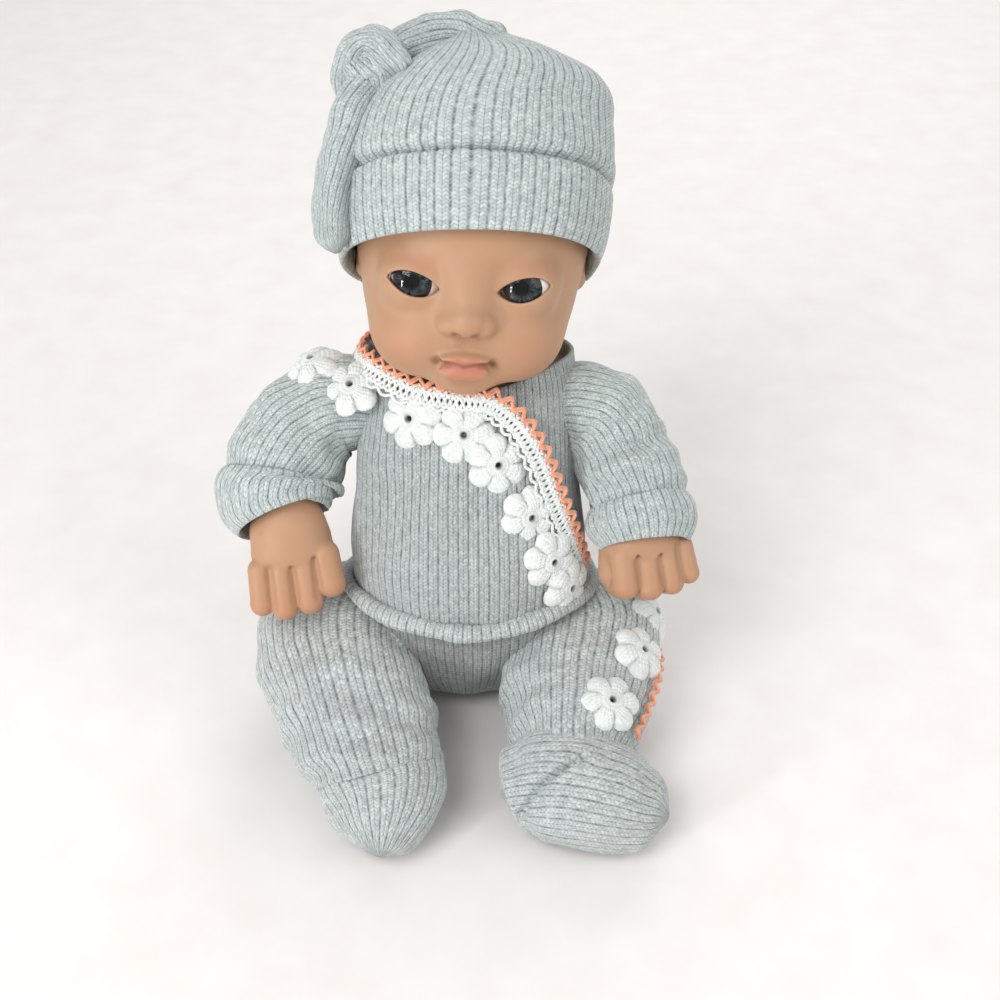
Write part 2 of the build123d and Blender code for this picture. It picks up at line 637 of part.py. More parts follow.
# ---- Arms, with their plugs, sleeves and cuffs ----
def arm_room(side):
    """Where the arm's own solids may be: outside the chest's flat, and clear of its bulge."""
    sign = SIDES[side]
    with BuildPart() as room:
        with BuildSketch(facing(sign * SHOULDER_PLANE, 0, SHOULDER_UP, "side")):
            Circle(SHOULDER_RECESS - 0.5)
        extrude(amount=sign * 80)
        with BuildSketch(facing(sign * 41.6, 0, SHOULDER_UP, "side")):
            Circle(120)
        extrude(amount=sign * 80)
    return room.part


def hand(side, grow=0.0):
    """The palm's fingers and thumb, as rounded rods set along the knuckle line."""
    sign = SIDES[side]
    wrist, palm = arm_points(side)[-2][0], arm_points(side)[-1][0]
    out, back, up = FINGERS[side]
    reach = (torso.x_dir * sign * out + torso.y_dir * back + torso.z_dir * up).normalized()
    across = (torso.x_dir * sign).cross(reach).cross(reach).normalized()
    with BuildPart() as fingers:
        for index, length in enumerate((11.5, 13, 12, 10)):
            root = palm + across * (4.6 * (index - 1.5))
            with Locations(Plane(origin=root, z_dir=reach)):
                Cylinder(2.9 + grow, length, align=(Align.CENTER, Align.CENTER, Align.MIN))
            with Locations(Location(root + reach * length)):
                Sphere(2.9 + grow)
        thumb = (reach * 0.75 - torso.x_dir * sign * 0.8).normalized()
        with Locations(Plane(origin=wrist + (palm - wrist) * 0.6, z_dir=thumb)):
            Cylinder(3 + grow, 12, align=(Align.CENTER, Align.CENTER, Align.MIN))
        with Locations(Location(wrist + (palm - wrist) * 0.6 + thumb * 12)):
            Sphere(3 + grow)
    return fingers.part


def limb_plug(side, kind, plug_face):
    """A stem through the torso's wall with a flange that holds it from inside."""
    stem, flange = PLUGS[kind]
    start = plug_face.offset(-SIDES[side] * 0.1)
    with BuildPart() as plug:
        add(disc(start, flange, -SIDES[side] * FLANGE_THICK))
        add(disc(start, stem, SIDES[side] * STEM_LENGTH))
    return plug.part


def stem_room(side, kind, plug_face):
    start = plug_face.offset(-SIDES[side] * 0.1)
    return disc(start, PLUGS[kind][0] + 0.02, SIDES[side] * (STEM_LENGTH + 0.05))


for side, sign in SIDES.items():
    points, room = arm_points(side), arm_room(side)
    plug_face = facing(sign * (SHOULDER_PLANE - 0.6 - WALL), 0, SHOULDER_UP, "side")
    export(limb_plug(side, "shoulder", plug_face), f"{side}_shoulder_plug")
    arm_stem = stem_room(side, "shoulder", plug_face)
    with BuildPart() as arm:
        add(limb(points, 0))
        add(hand(side))
        add(room, mode=Mode.INTERSECT)
        add(arm_stem, mode=Mode.SUBTRACT)
    export(arm.part, f"{side}_arm")

    arm_space = limb(points, CLOTH_GAP)
    wrist, direction = points[2][0], (points[2][0] - points[1][0]).normalized()
    cuff_start = Plane(origin=wrist - direction * 7, z_dir=direction)
    beyond_seam = block(cuff_start, 90, 90, 90)
    sleeve_points = [(point, radius) for (point, _), radius in zip(points, SLEEVE_RADII)]
    with BuildPart() as sleeve:
        add(limb(sleeve_points, 0))
        add(beyond_seam, mode=Mode.SUBTRACT)
        add(arm_space, mode=Mode.SUBTRACT)
        add(room, mode=Mode.INTERSECT)
        add(arm_stem, mode=Mode.SUBTRACT)
    export(max(sleeve.part.solids(), key=lambda solid: solid.volume), f"{side}_sleeve")
    with BuildPart() as cuff:
        with BuildSketch(cuff_start.offset(0.1)):
            Circle(SLEEVE_RADII[2] + 0.8)
        extrude(amount=11)
        fillet(cuff.edges().filter_by(GeomType.CIRCLE), 1.2)
        add(arm_space, mode=Mode.SUBTRACT)
        add(hand(side, 0.4), mode=Mode.SUBTRACT)
        add(room, mode=Mode.INTERSECT)
    export(max(cuff.part.solids(), key=lambda solid: solid.volume), f"{side}_cuff")


# ---- Legs, with their plugs, trouser legs and booties ----
def leg_room(side):
    """Where the leg's own solids may be: outside the pelvis's flat wall, above the floor."""
    sign = SIDES[side]
    with BuildPart() as room:
        with BuildSketch(facing(sign * HIP_PLANE, 0, 0, "side")):
            Circle(HIP_RECESS - 0.9)
            with BuildLine():
                Polyline((20, 0), (20, 200), (-200, 200), (-200, -20), (0, -20), close=True)
            make_face()
        extrude(amount=sign * 120)
        add(floor_slab, mode=Mode.SUBTRACT)
    return room.part


seam_turn = Vector(0, -1, -BOOTIE_SLOPE)
bootie_seam = Plane(origin=(0, -BOOTIE_FORWARD, HIP_HEIGHT), x_dir=(1, 0, 0), z_dir=seam_turn)
beyond_ankle = block(bootie_seam, 300, 200, 90)
before_ankle = block(bootie_seam.offset(-0.1), 300, 200, -120)
for side, sign in SIDES.items():
    room, skin = leg_room(side), leg_form(side, 0)
    plug_face = facing(sign * (HIP_PLANE - 0.4 - WALL), 0, 0, "side")
    export(limb_plug(side, "hip", plug_face), f"{side}_hip_plug")
    leg_stem = stem_room(side, "hip", plug_face)
    with BuildPart() as leg:
        add(skin)
        add(room, mode=Mode.INTERSECT)
        add(seat_slab, mode=Mode.SUBTRACT)
        add(leg_stem, mode=Mode.SUBTRACT)
    export(leg.part, f"{side}_leg")

    with BuildPart() as leg_space:
        add(leg_form(side, CLOTH_GAP))
        add(knit_slab, mode=Mode.SUBTRACT)
        add(leg_stem)
    with BuildPart() as leg_knit:
        add(trouser_form(side))
        add(room, mode=Mode.INTERSECT)
        add(leg_space.part, mode=Mode.SUBTRACT)
    for limit, name in ((before_ankle, "trouser_leg"), (beyond_ankle, "bootie")):
        pieces = (leg_knit.part & limit).solids()
        export(max(pieces, key=lambda solid: solid.volume), f"{side}_{name}")

# ---- Wrap top, trouser seat and rolled waistband ----
waist = Plane(origin=spine(0, 0, WAIST_UP), x_dir=(1, 0, 0), z_dir=torso.z_dir.rotate(Axis.X, WAIST_TILT))
above_waist = block(waist.offset(0.1), 300, 300, 200)
below_waist = block(waist.offset(-0.1), 300, 300, -200)
below_neck = block(torso.offset(104.6), 300, 300, -200)
torso_room = lofted(TORSO_SECTIONS, CLOTH_GAP) - knit_slab


def garment(limit):
    """The knit over the torso inside a limit, open where the neck and the limbs come out."""
    solid = lofted(TORSO_SECTIONS, CLOTH_GAP + KNIT)
    with BuildPart() as knit:
        add(solid & limit)
        add(torso_room, mode=Mode.SUBTRACT)
        for side in SIDES:
            add(hip_sweep(side), mode=Mode.SUBTRACT)
            add(shoulder_sweep(side), mode=Mode.SUBTRACT)
        add(floor_slab, mode=Mode.SUBTRACT)
        with BuildSketch(neck.offset(90)):
            Circle(NECK_RING_RADIUS + 1.5)
        extrude(amount=30, mode=Mode.SUBTRACT)
    return max(knit.part.solids(), key=lambda solid: solid.volume)


export(garment(above_waist & below_neck), "wrap_top")
export(garment(below_waist), "trouser_seat")

ROLL_RADIUS = 2.6
with BuildPart() as waistband:
    with BuildLine(waist) as waist_path:
        _, wide, deep, shift = TORSO_SECTIONS[3]
        reach = CLOTH_GAP + KNIT + 0.4 + ROLL_RADIUS
        EllipticalCenterArc((0, shift), wide + reach, deep + reach, arc_size=360)
    with BuildSketch(Plane(waist_path.line @ 0, z_dir=waist_path.line % 0)):
        Circle(ROLL_RADIUS)
    sweep(path=waist_path.line)
    for side in SIDES:
        add(hip_sweep(side), mode=Mode.SUBTRACT)
export(waistband.part, "waistband")

# ---- Crochet trim: a lace band on the wrap's edge, its flowers, and the leg's flowers ----
FLOWER_RADIUS, PETAL_RADIUS, PETALS, FLOWER_THICK = 6.8, 3.9, 6, 2.4
LACE_WIDTH = 8.0
LACE_LINE = [(-26, 99), (-14, 95.5), (0, 91), (12, 82), (22, 69), (30, 54), (34, 40)]  # x and up
FLOWER_PLACES = [(-20, 92), (-3, 87), (9, 77), (19, 63), (27, 48)]


def front_depth(x, up, grow):
    """How far in front of the spine line the torso's surface is at x and up."""
    for low, high in zip(TORSO_SECTIONS, TORSO_SECTIONS[1:]):
        if low[0] <= up <= high[0]:
            share = (up - low[0]) / (high[0] - low[0])
            wide, deep, shift = (low[k] + (high[k] - low[k]) * share for k in (1, 2, 3))
            return (deep + grow) * (1 - min(0.97, (x / (wide + grow)) ** 2)) ** 0.5 - shift
    return 0.0


def flower(plane):
    """A six-petalled crochet flower standing on a plane."""
    with BuildPart() as bloom:
        with BuildSketch(plane):
            Circle(FLOWER_RADIUS - 1)
            with PolarLocations(FLOWER_RADIUS, PETALS):
                Circle(PETAL_RADIUS)
            Circle(0.8, mode=Mode.SUBTRACT)
        extrude(amount=FLOWER_THICK)
    return bloom.part


wrap_face = lofted(TORSO_SECTIONS, CLOTH_GAP + KNIT + 0.2)
lace_face = lofted(TORSO_SECTIONS, CLOTH_GAP + KNIT + 1.2)
with BuildPart() as wrap_lace:
    with BuildSketch(facing(0, 0, 0, "front")):
        with BuildLine():
            Spline(*LACE_LINE)
        trace(line_width=LACE_WIDTH)
    extrude(amount=60)
    add(lace_face, mode=Mode.INTERSECT)
    add(wrap_face, mode=Mode.SUBTRACT)
    for side in SIDES:
        add(shoulder_sweep(side), mode=Mode.SUBTRACT)
export(max(wrap_lace.part.solids(), key=lambda solid: solid.volume), "wrap_lace")

flower_room = lofted(TORSO_SECTIONS, CLOTH_GAP + KNIT + 1.3)
with BuildPart() as wrap_flowers:
    for x, up in FLOWER_PLACES:
        depth = front_depth(x, up, 4.2)
        slope = front_depth(x + 1, up, 4.2) - depth
        outward = (-torso.y_dir - torso.x_dir * slope).normalized()
        add(flower(Plane(origin=spine(x, -depth, up), z_dir=outward)))
    add(flower_room, mode=Mode.SUBTRACT)
export(wrap_flowers.part, "wrap_flowers")

thigh_room = trouser_form("left")
thigh_line = [point for point, _ in leg_points("left", LEG_PATHS["left"])][1:3]
with BuildPart() as leg_flowers:
    for share, turn in ((-0.3, 46), (0.4, 52), (1.1, 60)):
        out = Vector(sin(radians(turn)), 0, cos(radians(turn)))
        anchor = thigh_line[0] + (thigh_line[1] - thigh_line[0]) * share
        add(flower(Plane(origin=anchor + out * TROUSER_RADII[2], z_dir=out)))
    add(thigh_room, mode=Mode.SUBTRACT)
export(leg_flowers.part, "leg_flowers")
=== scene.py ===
"""The looks of a seated baby doll in a ribbed knit outfit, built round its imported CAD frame.

Lengths are in millimetres until a mesh is made. The doll faces -Y and its own left side is +X.
"Torso places" are (x, back, up): up runs along the leaning spine from the line between the hips.
"""
import json
from math import cos, pi, radians, sin

import bpy
import numpy as np
import openvdb
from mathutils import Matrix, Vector


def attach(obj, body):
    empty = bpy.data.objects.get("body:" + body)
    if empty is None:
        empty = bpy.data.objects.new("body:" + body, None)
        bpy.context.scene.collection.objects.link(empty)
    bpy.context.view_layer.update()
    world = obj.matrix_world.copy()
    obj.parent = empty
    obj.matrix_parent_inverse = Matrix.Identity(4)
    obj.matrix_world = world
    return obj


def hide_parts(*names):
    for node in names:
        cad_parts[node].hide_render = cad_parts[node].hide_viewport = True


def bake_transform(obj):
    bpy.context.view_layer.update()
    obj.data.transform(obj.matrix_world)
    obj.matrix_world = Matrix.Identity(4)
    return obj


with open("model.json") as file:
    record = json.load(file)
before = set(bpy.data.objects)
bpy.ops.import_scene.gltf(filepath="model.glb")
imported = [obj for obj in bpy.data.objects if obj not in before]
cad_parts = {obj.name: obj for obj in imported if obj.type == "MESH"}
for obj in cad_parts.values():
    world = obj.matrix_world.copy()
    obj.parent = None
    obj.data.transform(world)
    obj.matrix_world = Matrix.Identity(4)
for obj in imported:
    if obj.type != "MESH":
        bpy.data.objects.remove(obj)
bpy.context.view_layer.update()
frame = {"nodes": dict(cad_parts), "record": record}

MM = 0.001
joints = {joint["name"]: joint for joint in frame["record"]["behaviour"]["joints"]}
UP = np.array(joints["head_turn"]["axis"], float)
SIDE = np.array([1.0, 0.0, 0.0])
BACK = np.cross(UP, SIDE)
HIP_MIDDLE = np.array([0.0, *joints["left_hip"]["pos_m"][1:]]) / MM
SIDES = {"left": 1, "right": -1}

# ---- Driving sizes ----
RIB_SAMPLES = 8  # mesh points across one rib
RIB_DEPTH = 0.5
STITCH_HEIGHT = 1.35
TORSO_RIBS, SLEEVE_RIBS, LEG_RIBS, FOOT_RIBS, CAP_RIBS = 76, 34, 38, 30, 62
ROLL = radians(3.5)  # the head hangs a little to its left
EYE = np.array([18.8, -28.0, 143.6])
EYE_RADIUS = 11.5
GAZE = radians(6)  # both eyes look a little to the doll's right
IRIS_EDGE = radians(39)  # from the gaze to the iris's rim, about the eyeball's centre
EYE_COLUMNS, IRIS_COLUMNS = 64, 96


def spine(x, back, up):
    """World points, in mm, at torso places."""
    x, back, up = np.broadcast_arrays(np.asarray(x, float), back, up)
    return HIP_MIDDLE + x[..., None] * SIDE + back[..., None] * BACK + up[..., None] * UP


def smooth(at, knots, values):
    """Values at the knots, interpolated by a smooth cubic; values may have several columns."""
    knots = np.asarray(knots, float)
    values = np.asarray(values, float).reshape(len(knots), -1)
    slopes = np.gradient(values, knots, axis=0)
    at = np.clip(np.atleast_1d(np.asarray(at, float)), knots[0], knots[-1])
    i = np.clip(np.searchsorted(knots, at) - 1, 0, len(knots) - 2)
    gap = (knots[i + 1] - knots[i])[:, None]
    t = (at - knots[i])[:, None] / gap
    start = (2 * t**3 - 3 * t**2 + 1) * values[i] + (t**3 - 2 * t**2 + t) * gap * slopes[i]
    end = (3 * t**2 - 2 * t**3) * values[i + 1] + (t**3 - t**2) * gap * slopes[i + 1]
    return start + end


def ease(value, low, high):
    """0 below low, 1 above high and smooth in between."""
    t = np.clip((value - low) / (high - low), 0, 1)
    return t * t * (3 - 2 * t)


def bell(value, middle, width, power=2):
    """1 at the middle, falling smoothly to about a third a width away."""
    return np.exp(-(np.abs((value - middle) / width) ** power))


def unit(vectors):
    return vectors / np.maximum(np.linalg.norm(vectors, axis=-1, keepdims=True), 1e-9)


def ripple(points, wavelength, seed, waves=9):
    """Smooth noise, about -1 to 1, with folds of this wavelength in mm."""
    draw = np.random.default_rng(seed)
    directions = unit(draw.normal(size=(waves, 3)))
    lengths = wavelength * draw.uniform(0.7, 1.6, waves)
    phases = draw.uniform(0, 2 * pi, waves)
    total = np.zeros(points.shape[:-1])
    for direction, length, phase in zip(directions, lengths, phases):
        total += np.sin(points @ direction * (2 * pi / length) + phase)
    return total / waves**0.5


def run(points):
    """The length of a line up to each of its points."""
    return np.concatenate([[0], np.cumsum(np.linalg.norm(np.diff(points, axis=0), axis=1))])


def squared(angle, power):
    """Cosine and sine on a rounded square of this power; 2 gives a circle."""
    c, s = np.cos(angle), np.sin(angle)
    bend = 2.0 / power
    return np.sign(c) * np.abs(c) ** bend, np.sign(s) * np.abs(s) ** bend


# ---- Meshes ----
def mesh_object(name, points, faces, smooth_faces=True):
    mesh = bpy.data.meshes.new(name)
    mesh.from_pydata((np.asarray(points) * MM).tolist(), [], faces)
    mesh.validate()
    mesh.update()
    if smooth_faces:
        mesh.polygons.foreach_set("use_smooth", np.ones(len(mesh.polygons), bool))
    piece = bpy.data.objects.new(name, mesh)
    bpy.context.scene.collection.objects.link(piece)
    return piece


def grid_faces(rows, columns, closed):
    """Quads of a grid whose points run row by row; closed joins the last column to the first."""
    wide = columns if closed else columns - 1
    row, column = np.meshgrid(np.arange(rows - 1), np.arange(wide), indexing="ij")
    after = (column + 1) % columns
    quads = np.stack(
        [row * columns + column, row * columns + after, (row + 1) * columns + after,
         (row + 1) * columns + column], axis=-1)
    return quads.reshape(-1, 4).tolist()


def grid_normals(points, closed):
    """Normals of a (rows, columns, 3) grid, by the right-hand rule from columns to rows."""
    if closed:
        across = np.roll(points, -1, axis=1) - np.roll(points, 1, axis=1)
    else:
        across = np.gradient(points, axis=1)
    return unit(np.cross(across, np.gradient(points, axis=0)))


def knit_object(name, points, rib_place, stitch_place, closed, caps=(False, False)):
    """A grid mesh with its knit map: ribs counted across and stitch rows counted along."""
    rows, columns = points.shape[:2]
    faces = grid_faces(rows, columns, closed)
    quads = 4 * len(faces)
    last = (rows - 1) * columns
    if caps[0]:
        faces.append(list(range(columns))[::-1])
    if caps[1]:
        faces.append([last + k for k in range(columns)])
    piece = mesh_object(name, points.reshape(-1, 3), faces)
    mesh = piece.data
    loops = np.empty(len(mesh.loops), int)
    mesh.loops.foreach_get("vertex_index", loops)
    row, column = loops // columns, loops % columns
    across, along = rib_place[row, column], stitch_place[row, column]
    if closed:
        corners = column[:quads].reshape(-1, 4)
        wraps = (corners == 0) & (corners.max(axis=1, keepdims=True) > columns // 2)
        turn = rib_place[:, -1] + rib_place[:, 1] - rib_place[:, 0]
        across[:quads] = np.where(wraps.ravel(), turn[row[:quads]], across[:quads])
    layer = mesh.uv_layers.new(name="knit")
    layer.data.foreach_set("uv", np.stack([across, along], axis=-1).astype(np.float32).ravel())
    return piece


def rib_profile(rib_place):
    """Two raised stitch columns and a groove in each rib, from -1 at the groove to about 0."""
    place = rib_place % 1.0
    groove = bell(place, 0.5, 0.13)
    middle = bell(np.minimum(place, 1 - place), 0, 0.09)
    return -groove - 0.28 * middle


def count_ribs(rows, columns):
    """The rib that each point of a closed grid is in, as a number that grows along the row."""
    return np.tile(np.arange(columns) / RIB_SAMPLES, (rows, 1))


def hem(points, normals, along, depth=1.6, inward=7.0):
    """Extra rows that turn an edge over and run back inside; along points out of the cloth."""
    steps = ((0.45, 0.55), (1.0, 0.7), (depth, 0.2), (depth + 0.3, -0.5 * inward), (depth + 0.6, -inward))
    return [points - normals * sink + along * reach for sink, reach in steps]


def with_hems(points, rib_place, stitch_place, before, after):
    """A grid and its knit map, with the rows of its hems added."""
    full = np.array([*before, *points, *after])
    lead = [stitch_place[0] - (k + 1) for k in range(len(before))][::-1]
    tail = [stitch_place[-1] + (k + 1) for k in range(len(after))]
    return full, np.tile(rib_place[0], (len(full), 1)), np.array([*lead, *stitch_place, *tail])


def tube(name, stations, hint, ribs, folds, hems, row_gap, floor=False, depth=RIB_DEPTH, square=2.0,
         warp=None):
    """A knitted tube through stations (x, y, z, half width along the hint, half width across).

    Folds and warp get each point's share of the length; square above 2 flattens the section's sides.
    """
    stations = np.asarray(stations, float)
    knots = run(stations[:, :3])
    rows = max(int(knots[-1] / row_gap), 8)
    at = np.linspace(0, knots[-1], rows)
    line = smooth(at, knots, stations)
    centre, wide, tall = line[:, :3], line[:, 3], line[:, 4]
    tangent = unit(np.gradient(centre, axis=0))
    first = unit(np.asarray(hint, float) - (tangent @ np.asarray(hint, float))[:, None] * tangent)
    second = np.cross(tangent, first)
    columns = ribs * RIB_SAMPLES
    angle = np.linspace(0, 2 * pi, columns, endpoint=False)
    c, s = squared(angle, square)
    points = (centre[:, None] + first[:, None] * (wide[:, None] * c)[..., None]
              + second[:, None] * (tall[:, None] * s)[..., None])
    rib_place = count_ribs(rows, columns)
    stitch_place = np.tile((at / STITCH_HEIGHT)[:, None], (1, columns))
    normals = -grid_normals(points, True)
    if np.mean(np.sum(normals * (points - centre[:, None]), axis=-1)) < 0:
        normals = -normals
    share = at[:, None] / knots[-1]
    points = points + normals * folds(points, share, angle[None])[..., None]
    room = np.clip((wide + tall)[:, None] / 2 / 12.0, 0, 1)
    points = points + normals * (rib_profile(rib_place) * depth * room)[..., None]
    if warp is not None:
        points = warp(points, share)
    if floor:
        points[..., 2] = rest_on_floor(points[..., 2])
    before = hem(points[0], normals[0], -tangent[0])[::-1] if hems[0] else []
    after = hem(points[-1], normals[-1], tangent[-1]) if hems[1] else []
    grid = with_hems(points, rib_place, stitch_place, before, after)
    return knit_object(name, *grid, True, (not hems[0], not hems[1]))


def rest_on_floor(height, level=0.5, softness=2.5):
    """Heights that flatten smoothly on to the floor instead of passing through it."""
    over = (height - level) / softness
    return level + softness * np.where(over > 20, over, np.log1p(np.exp(np.minimum(over, 20))))


def thread(points, radius, sides=6):
    """Points and faces of a round cord along a line."""
    tangent = unit(np.gradient(points, axis=0))
    hint = np.where(np.abs(tangent[:, 2:3]) < 0.9, [[0.0, 0.0, 1.0]], [[0.0, 1.0, 0.0]])
    first = unit(hint - np.sum(hint * tangent, axis=1, keepdims=True) * tangent)
    second = np.cross(tangent, first)
    angle = np.linspace(0, 2 * pi, sides, endpoint=False)
    ring = points[:, None] + radius * (
        first[:, None] * np.cos(angle)[None, :, None] + second[:, None] * np.sin(angle)[None, :, None])
    faces = grid_faces(len(points), sides, True)
    faces += [list(range(sides))[::-1], [(len(points) - 1) * sides + k for k in range(sides)]]
    return ring.reshape(-1, 3), faces


def joined(parts):
    """One list of points and one of faces from several."""
    points, faces, first = [], [], 0
    for some_points, some_faces in parts:
        points.append(some_points)
        faces += [[index + first for index in face] for face in some_faces]
        first += len(some_points)
    return np.concatenate(points), faces


# ---- Clay: rounded forms added and cut on a distance grid ----
class Clay:
    """A signed distance field in torso places."""

    def __init__(self, low, high, step):
        self.low, self.step = np.array(low, float), step
        axes = [np.arange(a, b, step, dtype=np.float32) for a, b in zip(low, high)]
        self.x, self.y, self.z = np.meshgrid(*axes, indexing="ij", sparse=True)
        self.field = np.full([len(axis) for axis in axes], 1e3, np.float32)

    def ball(self, centre, radii):
        rx, ry, rz = np.broadcast_to(np.asarray(radii, np.float32), 3)
        x, y, z = (self.x - centre[0]) / rx, (self.y - centre[1]) / ry, (self.z - centre[2]) / rz
        first = np.sqrt(x * x + y * y + z * z)
        second = np.sqrt((x / rx) ** 2 + (y / ry) ** 2 + (z / rz) ** 2) + 1e-6
        return first * (first - 1) / second

    def rod(self, start, end, start_radius, end_radius=None):
        end_radius = start_radius if end_radius is None else end_radius
        start, way = np.array(start, np.float32), np.array(end, np.float32) - np.array(start, np.float32)
        px, py, pz = self.x - start[0], self.y - start[1], self.z - start[2]
        share = np.clip((px * way[0] + py * way[1] + pz * way[2]) / float(way @ way), 0, 1)
        gap = np.sqrt((px - share * way[0]) ** 2 + (py - share * way[1]) ** 2 + (pz - share * way[2]) ** 2)
        return gap - (start_radius + share * (end_radius - start_radius))

    def add(self, form, blend=0.01):
        mix = np.clip(0.5 + 0.5 * (self.field - form) / blend, 0, 1)
        self.field = self.field * (1 - mix) + form * mix - blend * mix * (1 - mix)

    def cut(self, form, blend=0.01):
        mix = np.clip(0.5 - 0.5 * (self.field + form) / blend, 0, 1)
        self.field = self.field * (1 - mix) - form * mix + blend * mix * (1 - mix)

    def skin(self):
        """Points in torso places, and quads."""
        grid = openvdb.FloatGrid(background=3.0)
        grid.copyFromArray(np.clip(self.field, -3, 3))
        points, quads = grid.convertToQuads(isovalue=0.0)
        return points.astype(float) * self.step + self.low, quads[:, ::-1]


def paint(piece, name, values):
    attribute = piece.data.attributes.new(name, "FLOAT", "POINT")
    attribute.data.foreach_set("value", np.asarray(values, np.float32))


# ---- Materials ----
class Shader:
    """A node material under construction."""

    def __init__(self, name):
        self.material = bpy.data.materials.new(name)
        self.material.use_nodes = True
        self.tree = self.material.node_tree
        self.surface = next(n for n in self.tree.nodes if n.type == "BSDF_PRINCIPLED")

    def node(self, kind, **settings):
        made = self.tree.nodes.new(kind)
        for key, value in settings.items():
            setattr(made, key, value)
        return made

    def link(self, source, target):
        self.tree.links.new(source, target)

    def feed(self, node, index, value):
        if isinstance(value, bpy.types.NodeSocket):
            self.link(value, node.inputs[index])
        else:
            node.inputs[index].default_value = value

    def math(self, operation, first, second=0.0, third=0.0):
        made = self.node("ShaderNodeMath", operation=operation)
        for index, value in enumerate((first, second, third)):
            self.feed(made, index, value)
        return made.outputs[0]

    def noise(self, scale, detail=3.0, rough=0.55, vector=None):
        made = self.node("ShaderNodeTexNoise")
        made.inputs["Scale"].default_value = scale
        made.inputs["Detail"].default_value = detail
        made.inputs["Roughness"].default_value = rough
        self.link(vector or self.place(), made.inputs["Vector"])
        return made.outputs["Fac"]

    def point(self, x, y, z):
        made = self.node("ShaderNodeCombineXYZ")
        for index, value in enumerate((x, y, z)):
            self.feed(made, index, value)
        return made.outputs[0]

    def place(self):
        return self.node("ShaderNodeTexCoord").outputs["Object"]

    def range(self, value, low, high, to_low=0.0, to_high=1.0):
        made = self.node("ShaderNodeMapRange", clamp=True)
        for index, item in enumerate((value, low, high, to_low, to_high)):
            self.feed(made, index, item)
        return made.outputs[0]

    def mix(self, share, first, second):
        made = self.node("ShaderNodeMix", data_type="RGBA")
        for index, value in ((0, share), (6, first), (7, second)):
            if isinstance(value, tuple) and len(value) == 3:
                value = (*value, 1.0)
            self.feed(made, index, value)
        return made.outputs[2]

    def attribute(self, name):
        return self.node("ShaderNodeAttribute", attribute_name=name).outputs["Fac"]

    def bump(self, height, distance, strength=1.0, after=None):
        made = self.node("ShaderNodeBump")
        made.inputs["Distance"].default_value = distance * MM
        made.inputs["Strength"].default_value = strength
        self.link(height, made.inputs["Height"])
        if after is not None:
            self.link(after, made.inputs["Normal"])
        return made.outputs["Normal"]

    def finish(self, colour, roughness, normal=None, **more):
        self.feed(self.surface, "Base Color", (*colour, 1.0) if isinstance(colour, tuple) else colour)
        self.feed(self.surface, "Roughness", roughness)
        if normal is not None:
            self.link(normal, self.surface.inputs["Normal"])
        for key, value in more.items():
            self.feed(self.surface, key.replace("_", " "), value)
        return self.material


# The last of these is a near-black painted shade for the rib grooves and the gaps between stitches.
KNIT_LIGHT, KNIT_DARK, KNIT_GROOVE_SHADE = (0.64, 0.71, 0.69), (0.33, 0.385, 0.385), (0.085, 0.10, 0.10)


